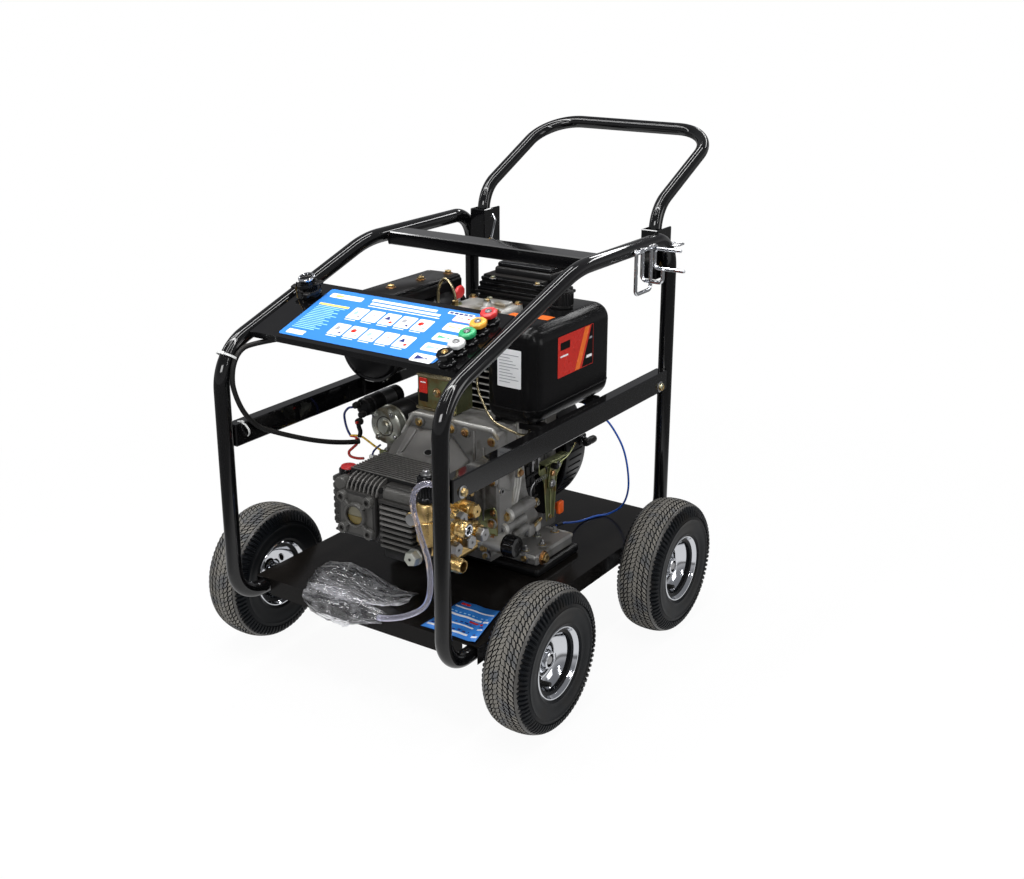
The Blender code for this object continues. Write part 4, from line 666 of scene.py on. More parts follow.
def hook():
    x = HOOP_X + TUBE_R + HOOK_R + 0.3
    j_y, j_low = (HOOK_FRONT_Y + 24, HOOK_TOP_Z - 53)
    prong_y = HOOK_REAR_Y + 14
    routes = [
        (8, (x, HOOK_FRONT_Y, HOOK_TOP_Z), (x, HOOK_FRONT_Y, HOOK_LOW_Z), (x, HOOK_REAR_Y, HOOK_LOW_Z),
         (x, HOOK_REAR_Y, HOOK_TOP_Z)),
        (9, (x, j_y, HOOK_TOP_Z), (x, j_y, j_low), (x + 42, j_y, j_low), (x + 42, j_y, j_low + 24)),
        (9, (x + 52, prong_y, HOOK_TOP_Z - 1), (x, prong_y, HOOK_TOP_Z - 1), (x, prong_y, HOOK_TOP_Z - 38),
         (x + 60, prong_y, HOOK_TOP_Z - 38)),
    ]
    body = Body()
    for bend, *points in routes:
        path = bent(points, bend, 8)
        body.add(swept(path, HOOK_R, 20), CHROME)
        for end in (path[0], path[-1]):
            body.turn(16, CHROME, at(*end), (0, -HOOK_R), (HOOK_R * 0.7, -HOOK_R * 0.7), (HOOK_R, 0),
                (HOOK_R * 0.7, HOOK_R * 0.7), (0, HOOK_R))
    body.add(rod(HOOK_R, prong_y - HOOK_FRONT_Y + 12, 20, 1), CHROME, at(x, HOOK_FRONT_Y - 6, HOOP_TOP_Z - 2, "Y"))
    for y in (HOOK_FRONT_Y, j_y, HOOK_REAR_Y, prong_y):
        body.add(block((x - 4.5, y - 5, HOOP_TOP_Z - 8), (x + 1.5, y + 5, HOOP_TOP_Z + 3), 2), STEEL)
    body.show("hook_rods", "chassis", ["hose_hook"], 60)


def bracket_trim(side):
    """The pivot bolt's head and nut, and the spring pin that holds the handle up."""
    axis, back = ("X", "-X") if side > 0 else ("-X", "X")
    x_out = side * (HANDLE_X + 17.7)
    x_in = side * (HANDLE_X - 17.7)
    body = Body()
    body.bolt((x_out, HANDLE_Y, PIVOT_Z), axis, 13, STEEL, ZINC)
    body.bolt((x_in, HANDLE_Y, PIVOT_Z), back, 12, STEEL, ZINC)
    z = PIVOT_Z + 40
    spot = at(x_out, HANDLE_Y + 3, z, axis)
    body.add(turned([(3, 0), (7.2, 0), (7.2, 5), (5.5, 7), (3, 7)], 24), STEEL, spot)
    coil = [(4.2 * cos(t * 0.7), 4.2 * sin(t * 0.7), 7 + 0.22 * t) for t in range(44)]
    body.add(swept(coil, 0.7, 8), CHROME, spot)
    body.add(rod(2.6, 20, 16, 0.8), CHROME, spot)
    ring = bent([(0, 0, 20), (14, 0, 20), (14, 0, 42), (-14, 0, 42), (-14, 0, 20)], 5, 6, True)
    body.add(swept(ring, 1.4, 12, True), CHROME, spot @ at(0, 0, -4))
    if side < 0:
        hanging = bent([(-173.5, 356, 744), (-166, 352, 750), (-160, 352, 738), (-170, 352, 698), (-175, 356, 701)],
            [0, 4, 6, 4, 0], 6)
        body.add(swept(hanging, 2.2, 12), CHROME)
    body.show(f"{SIDES[side]}_bracket_trim", "chassis")


def crossbar_trim():
    """Weld beads where the crossbar meets the side tubes."""
    body = Body()
    for side in (-1, 1):
        x = side * 217.5
        for y in (75.5, 124.5):
            middle = (x, y + copysign(1.5, y - 100), 740)
            bead = smooth([(x - side * 2, y, 728.5), middle, (x - side * 2, y, 752.5)], 3)
            body.add(swept(bead, [1.8 + 0.4 * (k % 2) for k in range(len(bead))], 8), PAINT)
    body.show("crossbar_welds", "chassis")


def ties():
    """White cable ties round the front left hoop."""
    body = Body()
    x = -HOOP_X

    def ring(centre, normal, radius, half_width, finish):
        turn = Vector(normal).to_track_quat("Z", "Y").to_matrix().to_4x4()
        body.add(sleeve(radius, radius + 1.1, -half_width, half_width, 40), finish, at(*centre) @ turn)
        body.add(block((radius - 0.5, -2.8, -2.6), (radius + 4.5, 2.8, 2.6), 0.6), finish,
            at(*centre) @ turn @ spin(radians(110)))

    ring((x + 4, -356, 608), (0, 0.55, 0.83), 18.2, 1.8, WHITE)
    ring((x + 4.5, -332, 470), (0, 1, 0.35), 15, 1.7, WHITE)
    body.show("cable_ties", "chassis")


# ---------------------------------------------------------------- wheels

def crown(x):
    """Radius of the tyre's groove floor."""
    return 127.6 - 5 * (abs(x) / 30) ** 2.4


def tread_rib(centre, half, pitch_count, lean, shift, rise, gap):
    """One rib of curved blocks: (top faces, walls)."""
    tops, walls = (bmesh.new(), bmesh.new())
    pitch = 2 * pi / pitch_count
    across = (-1.0, -0.45, 0.1, 0.6, 1.0)

    def spot(t, end, top):
        x = centre + half * t + (1.5 if end else -1.5) * (1 if lean > 0 else -1)
        angle = start + end * pitch * (1 - gap) + lean * pitch * (sin(3.0 * t) + 1.1 * t)
        radius = crown(x) + (rise if top else -1)
        return metres((radius * cos(angle), radius * sin(angle), x))

    def face(mesh, *corners):
        mesh.faces.new([mesh.verts.new(spot(*corner)) for corner in corners])

    for index in range(pitch_count):
        start = pitch * (index + shift)
        for a, b in zip(across, across[1:]):
            face(tops, (a, 0, 1), (b, 0, 1), (b, 1, 1), (a, 1, 1))
            for end in (0, 1):
                face(walls, (a, end, 1), (b, end, 1), (b, end, 0), (a, end, 0))
        for t in (-1.0, 1.0):
            face(walls, (t, 0, 1), (t, 1, 1), (t, 1, 0), (t, 0, 0))
    for mesh in (tops, walls):
        bmesh.ops.remove_doubles(mesh, verts=mesh.verts, dist=1e-06)
        bmesh.ops.recalc_face_normals(mesh, faces=mesh.faces)
    return (tops, walls)


def shoulder_rib(side, teeth):
    """Smooth narrow rib beyond the blocks, notched on its outer edge."""
    mesh = bmesh.new()
    rows = []
    for index, angle in enumerate(circle(teeth * 2)):
        notch = 1.1 if index % 2 else -0.9
        section = [(28.8, -1), (29, 2.3), (31.8, 2.2), (33.3 + notch, 1.4), (33.6 + notch, -2)]
        points = [(crown(x) + lift, side * x) for x, lift in section]
        rows.append([mesh.verts.new(metres((r * cos(angle), r * sin(angle), x))) for r, x in points])
    return skin(mesh, rows, True, False)


def shoulder_fins(side, count):
    """Rounded lugs that run from the shoulder down the sidewall."""
    mesh = bmesh.new()
    outer = [(123.2, 32.2), (121.8, 35.2), (117, 39.6), (111, 42), (105, 42.9)]
    inner = [(104.5, 40.5), (110.5, 38.5), (116, 35), (120.5, 31)]
    pitch = 2 * pi / count
    for index in range(count):
        rings = []
        for turn, sink in ((-0.36, 2.2), (-0.2, 0), (0.2, 0), (0.36, 2.2)):
            ring = []
            for r, x in outer + inner:
                drop = sink if (r, x) in outer else 0
                angle = pitch * (index + turn) + (123.2 - r) * 0.0012
                ring.append(mesh.verts.new(metres(((r - drop) * cos(angle), (r - drop) * sin(angle),
                    side * (x - drop)))))
            rings.append(ring)
        mesh.faces.new(rings[0])
        mesh.faces.new(rings[-1])
        skin(mesh, rings)
    return mesh


# gap, lean and half width of the ribs, from the outer one to the inner one
TREAD_RIBS = ((0.035, 0.12, 3.1), (0.02, 0.12, 3.1), (0.015, 0.06, 3.6))


def tyre_data():
    body = Body()
    half = [(51.5, 29), (60, 31.8), (64, 36.2), (68, 38.8), (69.5, 39.6), (71.5, 39.2), (78, 40.8), (90, 42.3),
        (95.5, 42.4), (96.8, 43.1), (98, 43.1), (99, 42.1), (104, 41.2), (110, 38.8), (116, 35.2)]
    flank = [(crown(x), x) for x in (31.5, 28, 24, 18, 12, 6, 0)]
    outer = half + flank
    section = outer + [(r, -x) for r, x in reversed(outer[:-1])]
    body.add(turned(section, 144, True), SIDEWALL)
    for index in range(6):
        gap, lean, half_width = TREAD_RIBS[min(index, 5 - index)]
        lean *= 1 if index > 2 else -1
        tops, walls = tread_rib(-24 + 9.6 * index, half_width, TREAD_BLOCKS, lean, 0.5 * (index % 2), 2.4, gap)
        body.add(tops, TREAD)
        body.add(walls, GROOVE)
    for side in (-1, 1):
        body.add(shoulder_rib(side, SHOULDER_TEETH), SHOULDER)
        body.add(shoulder_fins(side, SHOULDER_LUGS), SIDEWALL)
    return body.data("tyre", 28)


def rim_data():
    """Chrome rim: rolled flange, stepped dish, windowed disc, hub sleeve and valve stem."""
    body = Body()
    dish = [(60, 28.5), (63, 31.2), (64.5, 34), (64.3, 36.2), (63.2, 37.3), (61.8, 37), (60.8, 35.8), (59.6, 33.8),
        (58, 32.2), (56.8, 30.4), (55, 27), (52.6, 22.8), (49.8, 18.4), (46.6, 14.2), (43, 10.6), (39, 7.8), (34.5, 6),
        (28.5, 5.2), (24, 5.4), (20.5, 6.2), (18.2, 7), (16.8, 8), (16, 15), (15.2, 19.6), (13.8, 20.6), (12, 20.6),
        (11, 19.6), (10.7, 18), (10.7, 6)]
    for side in (1, -1):
        body.add(turned([(r, side * x) for r, x in dish], 96), CHROME)
        # The disc's windows are near-black ovals ringed in chrome, not openings: painted shade where one would look
        # into the wheel.
        for k in range(4):
            face = spin(radians(90 * k + 66)) @ at(34.5, 0, side * 6.4) @ spin(side * radians(-16), "Y")
            low, high = sorted((side * -1, side * 0.4))
            body.add(prism(oval(4.6, 7.6), "Z", low, high), GROOVE, face)
            body.add(swept([(a, b, side * 0.2) for a, b in oval(5, 8)], 1, 8, True), CHROME, face)
    stem = at(-15, -40, 8) @ spin(radians(-12), "X")
    body.turn(24, RUBBER, stem, (7.2, 0), (6.6, 3.5), (5.2, 5.5), (4.8, 15), (4, 16.5), (4, 21.5), (3.4, 22.5))
    return body.data("rim", 30)


def wheels():
    tyre, rim = (tyre_data(), rim_data())
    turns = {("front", 1): 0, ("rear", 1): 0, ("front", -1): 90, ("rear", -1): 270}
    for end, y in WHEEL_YS.items():
        for side, name in ((1, "right"), (-1, "left")):
            turn = spin(radians(turns[end, side]))
            place = SHIFT @ at(side * WHEEL_X, y, TYRE_R) @ AXES["X" if side > 0 else "-X"] @ turn
            wheel = f"{end}_{name}_wheel"
            show(f"{end}_{name}_tyre_tread", tyre, wheel, [f"{end}_{name}_tyre"], place)
            show(f"{end}_{name}_rim_dish", rim, wheel, [f"{end}_{name}_rim"], place)


def axle(name, y):
    """Through shaft held in two blocks under the tray, pinned outside each hub."""
    reach = WHEEL_X + 19.5
    body = Body()
    body.add(rod(7.8, 2 * reach, 32, 1.5), STEEL, at(-reach, y, TYRE_R, "X"))
    for side in (-1, 1):
        x = side * 196
        body.add(block((x - 15, y - 18, TYRE_R - 13.8), (x + 15, y + 18, 168), 3), SATIN)
        body.add(sleeve(7.9, 15, 0, 2.5, 32), STEEL, at(side * (WHEEL_X - 25.5) - 1.25, y, TYRE_R, "X"))
        body.add(swept(bent([(x + side * 22, y, TYRE_R + 14.5), (x + side * 22, y, TYRE_R - 15),
            (x + side * 22, y + 6, TYRE_R - 17)], 2, 4), 1.3, 8), STEEL)
    body.show(f"{name}_shaft", "chassis", [name])


# ---------------------------------------------------------------- control panel

def on_panel(x, y, rise=0):
    z = SLOPE_START_Z + tan(SLOPE) * (y + POST_Y) + PANEL_RISE
    return Vector((x, y - sin(SLOPE) * rise, z + cos(SLOPE) * rise))


def panel_frame(x, y, rise=0):
    return at(*on_panel(x, y, rise)) @ spin(SLOPE, "X")


def patch(body, finish, low, high, radius, lift, place, thick=0.15):
    """A thin printed or moulded patch lying in the plane of place."""
    body.add(prism(rounded(low, high, radius), "Z", lift, lift + thick), finish, place)


def motif(body, kind, a, b, size, place, lift):
    """A generic mark for a pictogram tile."""
    if kind == "drop":
        shape = [(a + size * 0.42 * sin(t) * sin(t / 2) ** 1.4, b + size * 0.5 * cos(t))
            for t in (2 * pi * k / 20 for k in range(20))]
        finish = INK_SKY
    elif kind == "wedge":
        shape = [(a - size * 0.55, b - size * 0.3), (a + size * 0.5, b - size * 0.05), (a + size * 0.5,
            b + size * 0.1)]
        finish = INK_RED
    elif kind == "can":
        shape = rounded((a - size * 0.3, b - size * 0.4), (a + size * 0.3, b + size * 0.4), size * 0.12)
        finish = INK_GREY
    elif kind == "disc":
        shape = [(a + size * 0.4 * cos(t), b + size * 0.4 * sin(t)) for t in (pi * k / 9 for k in range(18))]
        finish = INK_RED
    else:
        shape = [(a - size * 0.5, b - size * 0.4), (a + size * 0.5, b - size * 0.4), (a, b + size * 0.45)]
        finish = INK_NAVY
    body.add(prism(shape, "Z", lift, lift + 0.1), finish, place)


def panel_decal():
    place = panel_frame(0, -308.5, 0.2)
    top = 0.3
    body = Body()
    patch(body, INK_BLUE, (-162, 10), (168, 161.6), 6, 0, place, 0.3)

    def mark(finish, low, high, radius, lift=0):
        patch(body, finish, low, high, radius, top + lift, place)

    mark(INK_WHITE, (-150, 136.5), (-78, 150), 4)
    mark(INK_YELLOW, (-138, 140), (-121, 146.5), 3, 0.15)
    for low, high in (((-60, 145.5), (78, 152.5)), ((-56, 135), (92, 141.5)), ((-56, 128.5), (96, 130.8)),
            ((100, 148), (152, 155.6))):
        mark(INK_WHITE, low, high, 1.1)
    for k in range(5):
        mark(INK_NAVY, (103 + 9.6 * k, 149.6), (110.5 + 9.6 * k, 154), 1, 0.15)
    mark(INK_YELLOW, (-152, 110.5), (-86, 116.5), 1)
    for k in range(15):
        width = 62 - 18 * (k * 7 % 5) / 4
        mark(INK_SKY, (-151, 105.5 - 5 * k), (-151 + width, 107.5 - 5 * k), 0.6)
    mark(INK_WHITE, (-150, 16), (-112, 28.5), 2)
    kinds = ["drop", "can", "wedge", "disc", "hill"]
    for row in range(2):
        for column in range(5):
            a, b = (-58 + 34.5 * column, 102 - 52 * row)
            mark(INK_WHITE, (a - 15.2, b - 16.5), (a + 15.2, b + 18), 3)
            mark(INK_WHITE, (a - 13, b - 21.2), (a + 10, b - 19.2), 0.8)
            motif(body, kinds[(column * 2 + row) % 5], a - 5, b + 4, 13, place, top + 0.15)
            motif(body, kinds[(column + row * 3 + 1) % 5], a + 7, b - 7, 8, place, top + 0.15)
            for k in range(2):
                mark(INK_GREY, (a - 12, b - 13.5 + 2.5 * k), (a + 1 + 3 * k, b - 12.8 + 2.5 * k), 0.3, 0.15)
    tints = [INK_NAVY, INK_SKY, INK_GREEN, INK_YELLOW, INK_RED]
    spreads = [6, 5, 3.8, 2.6, 1.2]
    for k, (tint, spread) in enumerate(zip(tints, spreads)):
        b = 17.9 + NOZZLE_PITCH * k
        if k == 4:
            b -= 3
        mark(tint if k in (2, 4) else INK_WHITE, (119.5, b - 11), (162.5, b + 11.5), 4)
        mark(INK_WHITE, (120.2, b - 10.3), (161.8, b + 10.8), 3.5, 0.12)
        fan = [(146, b), (127, b - spread), (127, b + spread)]
        body.add(prism(fan, "Z", top + 0.3, top + 0.4), tint, place)
        mark(tint, (146, b - 1.6), (150.5, b + 1.6), 0.8, 0.3)
        mark(INK_GREY, (123.5, b + 6.2), (126.5, b + 8.6), 0.6, 0.3)
    body.show("panel_decal", "chassis")


def nozzles():
    colours = [("black", GLOSS), ("white", WHITE), ("green", GREEN), ("yellow", YELLOW), ("red", RED)]
    grommet = [(6.3, -4), (10.5, -4), (10.5, 0.3), (14, 0.4), (15.2, 1.6), (15, 3.4), (13.5, 4.8), (11.8, 5.6),
        (12.2, 6.6), (11.8, 8), (10.4, 9), (10.2, 12.2), (9.4, 12.6), (6.3, 12.6)]
    rack = Body()
    first = panel_frame(NOZZLE_X, NOZZLE_FIRST_Y)
    rack.add(block((-13.5, -12, -7.8), (13.5, 4 * NOZZLE_PITCH + 12, -3), 2), RUBBER, first)
    for index, (colour, finish) in enumerate(colours):
        spot = panel_frame(NOZZLE_X, NOZZLE_FIRST_Y + index * NOZZLE_PITCH * cos(SLOPE))
        rack.add(turned(grommet, 40, True), GLOSS, spot)
        body = Body()
        head = spot @ at(0, 0, 12.8)
        body.turn(8, finish, head, (12.2, 0), (14.5, 1.4), (15, 3), (15, 7), (13.8, 8.8), (11, 9.6), (7.8, 9.6),
            (7, 8.6))
        metal = BRASS if colour == "black" else STEEL
        body.turn(24, metal, head @ at(0, 0, 8.4), (5.8, 0), (5.8, 1.5), (5, 2.6), (3, 2.6), (2.4, 1),
            (1.4, 0.8), (0, 0.4))
        body.turn(24, STEEL, head, (4.6, -30), (5.7, -28.5), (5.7, -18), (4.6, -16.5), (4.6, -12.5), (5.7, -11),
            (5.7, 0))
        body.show(f"nozzle_{colour}_head", f"nozzle_{colour}", [f"nozzle_{colour}"], 25)
    rack.show("nozzle_grommets", "chassis", ["nozzle_rack"])


def switch():
    """Key switch on a black neck, with a flat strap wound round it and hanging to the panel."""
    spot = panel_frame(SWITCH_X, SWITCH_Y)
    body = Body()
    body.turn(48, GLOSS, spot, (17.5, 0.4), (19, 2), (19, 6), (17.6, 7.5), (14, 8), (12.8, 12), (12.8, 30), (13.8, 33),
        (14.6, 35), (14.6, 37.2), (11, 37.2), (0, 37))
    body.add(turned([(11.8, 36), (11.8, 38.4), (12.6, 39.4), (14, 39.2), (15.1, 38), (15.4, 36.2), (14.8, 34.6),
        (13.8, 34)], 56, True), CHROME, spot)
    body.ribs(24, PLASTIC, spot, (12.4, -0.8, 10), (13.6, 0.8, 30), 0.4, 1)
    for turn, rise, radius in ((8, 0, 19.6), (-14, 5, 18.4)):
        tilt = spot @ spin(radians(turn), "Y") @ spin(radians(turn / 2), "X")
        body.add(turned([(radius - 1.2, 13 + rise), (radius + 0.6, 13 + rise), (radius + 0.9, 16 + rise),
            (radius + 0.6, 19.5 + rise), (radius - 1.2, 19.5 + rise)], 48, True), PLASTIC, tilt)
    body.add(block((-38, -9, 12.5), (-16, 3, 18.5), 2.2, 3), PLASTIC, spot)
    body.add(block((6, -28, 12), (18, -17, 19), 2.2, 3), PLASTIC, spot)
    thumb = spot @ at(14, 6, 0) @ spin(radians(35))
    body.add(prism(oval(12.5, 9), "Z", 22.5, 25.5, 1, 2), SATIN, thumb)
    for k in range(5):
        body.add(block((-9 + 3.6 * k, -5, 25.2), (-7.6 + 3.6 * k, 5, 26.2), 0.4, 1), PLASTIC, thumb)
    strap = smooth([(-17, -10, 30), (-20, -12, 20), (-21, -13, 10), (-20, -15, 2)], 2)
    body.add(swept(strap, 1.6, 8), PLASTIC, spot)
    body.add(swept([(a + 1.6, b - 2, c) for a, b, c in strap[4:]], 0.9, 8), BRASS, spot)
    body.show("switch_collar", "chassis", ["ignition_switch"])
    key = Body()
    key.turn(40, GLOSS, spot, (11.2, 37.4), (11.2, 38.2), (10, 38.8))
    key.add(block((-8, -1.4, 38.6), (8, 1.4, 39.4), 0.4), DARK_STEEL, spot @ spin(radians(28)))
    key.show("key_slot", "key", ["key_barrel"])


# ---------------------------------------------------------------- engine

def crankcase_trim():
    """Bosses, bolts, ribs, the cover plate and the oil filter's ribbed tube on the crankcase."""
    body = Body()
    cover_bolts = [(-9.5, 461), (-42, 426), (-22, 430), (61.5, 462), (92, 461), (148, 454), (59, 429), (147.5, 380),
        (147.5, 300), (130, 250), (60, 247.5), (-20, 247.5), (-64, 290), (-64, 370)]
    for index, (x, z) in enumerate(cover_bolts):
        body.turn(24, CASTING, at(x, -104, z, "-Y"), (9.8, 0), (9.2, 6.5), (8.5, 7.2))
        body.bolt((x, -111, z), "-Y", 11.5, COPPER if index % 3 else ZINC, ZINC)
    flange = [(-52, 430), (-26, 473.5), (146, 473.5), (157, 458)]
    route = bent([(x, -103.5, z) for x, z in flange], 10, 6)
    body.add(swept(route, 4.2, 12), BRIGHT)
    for x, z_low, z_high in ((20, 425, 470), (108, 300, 466), (128, 300, 440)):
        body.add(block((x - 2.5, -108.5, z_low), (x + 2.5, -102, z_high), 2), CASTING)
    body.add(rod(6.2, 12, 24, 1), BRIGHT, at(148, -95, 360, "X"))
    body.add(sleeve(3.4, 6, 0, 2.2, 24), STEEL, at(159, -95, 360, "X"))
    # A near-black disc in the sleeve's bore: painted shade.
    body.add(rod(3.4, 1, 16), GROOVE, at(159.2, -95, 360, "X"))
    side = [(-95, 246), (-80, 238), (30, 238), (44, 250), (40, 272), (18, 298), (2, 330), (-6, 380), (-4, 460),
        (-16, 470), (-95, 470)]
    body.add(prism(side, "X", 117, 150, 6, 4), CASTING)
    pad = [(-104, 469), (-104, 366), (-64, 348), (-56, 354), (-50, 376), (-48, 469)]
    body.add(prism(pad, "X", 148, 160, 5, 4), CASTING)
    body.add(prism([(-104, 360), (-104, 270), (-80, 256), (-56, 270), (-64, 340)], "X", 148, 157, 4, 3), CASTING)
    low_rib = [(-43, 469), (-43, 385), (-44, 356), (-50, 334), (-56, 316)]
    for shift in (0, 9, 18):
        body.wire(BRIGHT, [(151, y + shift, z) for y, z in low_rib], 4, 3.2, 12)
    for y, z, x, size in ((-78, 306.5, 157, 11.8), (-90, 284, 156, 9.8)):
        body.add(rod(size, 82 if z > 300 else 70, 32, 2), CASTING, at(x, y, z, "Y"))
        body.turn(32, BRIGHT, at(x, y + 6, z, "-Y"), (size + 2.2, 0), (size + 2.6, 3), (size + 1.8, 8.5))
    body.bolt((157, -80.5, 306.5), "-Y", 13.5, ZINC, ZINC)
    body.add(sleeve(4, 7.2, 0, 2, 28), STEEL, at(156, -92.5, 284, "-Y"))
    # A near-black disc in the sleeve's bore: painted shade.
    body.add(rod(4.2, 0.8, 6), GROOVE, at(156, -92.6, 284, "-Y"))
    for y, z, finish in ((-37, 377, COPPER), (-18, 306, ZINC)):
        body.turn(24, CASTING, at(159, y, z, "X"), (12, -14), (10.4, 0))
        body.bolt((159, y, z), "X", 12, finish, ZINC)
    body.add(block((120, -6, 236), (160, 16, 260), 6, 4), CASTING)
    body.add(block((120, 24, 236), (156, 42, 256), 5, 4), BRIGHT)
    body.add(rod(8.5, 50, 28, 2), CASTING, at(150, -50, 257, "Y"))
    body.wire(ZINC, [(156, 0, 250), (156, 18, 254.5), (154.5, 40, 259)], 4, 3.6, 14)
    diamond = [(118, 314), (136, 325), (150, 331), (156, 324), (158, 290), (158, 264), (150, 262), (115, 285)]
    body.add(prism(diamond, "Y", -107.8, -105, 0.7, 1), OLIVE)
    for x, z in ((149, 320.5), (149, 274)):
        body.bolt((x, -107.8, z), "-Y", 9.5, COPPER, ZINC)
    tube = [(0, 85), (17.8, 85), (17.8, 103), (16.5, 105), (16.5, 113), (18.6, 115), (18.6, 127), (16.8, 129),
        (16.8, 140), (18.8, 142), (19, 158), (18, 169.5), (0, 169.5)]
    body.add(turned(tube, 48), BRIGHT, at(0, -98, 262, "X"))
    for y, z in ((-106, 236.5), (-88, 237)):
        body.turn(20, CASTING, at(136, y, z, "-Y"), (8.5, -18), (7.5, 0))
    body.bolt((136, -112, 236.5), "-Y", 11, ZINC, STEEL)
    for x, y, z, size in ((150, -5, 210.5, 15), (163, 33, 210.5, 13), (132, 63, 210.5, 15), (150, 98, 210.5, 15),
            (-140, 10, 210.5, 15), (-140, 92, 210.5, 15)):
        body.turn(24, CASTING, at(x, y, z), (size * 0.78, -3), (size * 0.72, 0.8))
        body.bolt((x, y, z), "Z", size * 0.8, STEEL, ZINC)
        body.add(rod(size * 0.22, 6.5, 20, 0.8), STEEL, at(x, y, z + size * 0.3))
    body.bolt((183.2, 4, 201), "X", 19, ZINC, COPPER, 8)
    body.bolt((156, -16, 200), "-Y", 12, ZINC, STEEL)
    body.add(block((118, -17, 199.5), (180, 118, 209), 4, 3), BRIGHT)
    for x in (-120, -60, 0, 60, 115):
        body.add(block((x - 3, -20, 205), (x + 3, 0, 236), 2.5), CASTING)
    for y in (-40, 10, 60, 110):
        for side in (-1, 1):
            x = side * 117.5
            body.add(block((x - 3.5, y - 2.5, 225), (x + 3.5, y + 2.5, 430), 2.2), CASTING)
    body.add(block((-119.5, 20, 300), (-116.5, 100, 390), 1.2), BLACK_FIN)
    for y, z in ((26, 306), (94, 306), (26, 384), (94, 384)):
        body.bolt((-119.5, y, z), "-X", 9.5, COPPER, ZINC)
    body.show("crankcase_trim", "chassis")


def governor():
    """Cut-out plate, springs, studs and injection pump behind the speed lever on the engine's right side."""
    body = Body()
    plates = [
        [(50, 362), (50, 345), (69, 321), (78.5, 240), (90, 236), (87, 300), (80, 330), (70, 352)],
        [(130, 362), (130, 343), (109, 321), (101, 240), (90, 236), (93, 282), (100, 320), (112, 350)],
        [(50, 363), (130, 363), (130, 348), (50, 348)],
        [(80, 326), (86, 296), (96, 296), (101, 326), (98, 350), (82, 350)],
    ]
    for outline in plates:
        body.add(prism(outline, "X", 142, 143.6, 0.5, 1), OLIVE)
    edges = [
        [(50, 361), (49, 344), (68, 320), (77.5, 238)],
        [(102, 238), (110, 320), (131, 342), (130, 361)],
        [(91, 245), (89, 300), (83, 320)],
        [(91, 245), (92.5, 282), (99, 318)],
    ]
    for points in edges:
        body.add(swept(bent([(144, y, z) for y, z in points], 6, 5), 1.5, 10), OLIVE)
    body.add(block((141, 48, 361), (160, 132, 363.4), 0.8), OLIVE)
    body.add(block((118, 74, 252), (141.2, 106, 332), 4), BLACK_FIN)
    body.add(rod(4, 11, 20, 0.5), STEEL, at(141.6, 90, 312, "X"))
    body.bolt((143.6, 117, 340), "X", 10, STEEL, STEEL)
    body.bolt((143.6, 89, 244), "X", 8.5, ZINC, STEEL)
    body.wire(OLIVE, [(146, 118, 345), (150, 138, 352), (150, 158, 362), (146, 176, 366)], 4, 1.6, 8)
    for y in (30, 50):
        body.add(rod(2.8, 36, 14, 0.4), STEEL, at(142, y, 354))
        body.add(rod(5, 4.2, 6), STEEL, at(142, y, 370))
    body.add(block((118, 8, 262), (134, 50, 372), 4), BLACK_FIN)
    body.add(block((133, 14, 280), (140, 28, 366), 3), BLACK_FIN)
    body.add(block((133, 33, 290), (138, 45, 358), 3), BLACK_FIN)
    for z in (300, 322, 344):
        body.add(block((133, 10, z), (144, 48, z + 4.5), 1.5), BLACK_FIN)
    body.add(rod(9, 20, 24, 1), ZINC, at(134, 28, 295, "X"))
    body.bolt((154, 28, 295), "X", 10, PLATED, ZINC)
    coil = [(147 + 3.4 * cos(t * 0.8), 70 - 0.8 * t, 333 + 3.4 * sin(t * 0.8)) for t in range(50)]
    body.add(swept(coil, 0.6, 6), STEEL)
    body.wire(STEEL, [(147, 30, 333), (147, 20, 326), (148, 16, 312), (150, 24, 302)], 3, 1.2, 8)
    body.show("governor_trim", "chassis", ["speed_plate"])
    lever = Body()
    outline = [(80, 303.5), (90, 299), (100, 303.5), (101, 320), (96, 340), (96, 353), (90, 357), (84, 353), (84, 340),
        (79, 320)]
    lever.add(prism(outline, "X", 144.6, 146.8, 0.8, 2), OLIVE)
    lever.turn(28, STEEL, at(146.8, 90, 312, "X"), (8.6, 0), (8.2, 3), (5.6, 5.6), (0, 6.4))
    lever.turn(6, COPPER, at(146.8, 90, 333, "X"), (6, 0), (6, 4.4), (4.8, 5.6))
    lever.turn(24, PLASTIC, at(146.4, 90, 347.5, "X"), (4.6, 0), (6, 3), (6, 11), (4.6, 13.6))
    lever.show("speed_lever_arm", "speed_lever", ["speed_lever"])


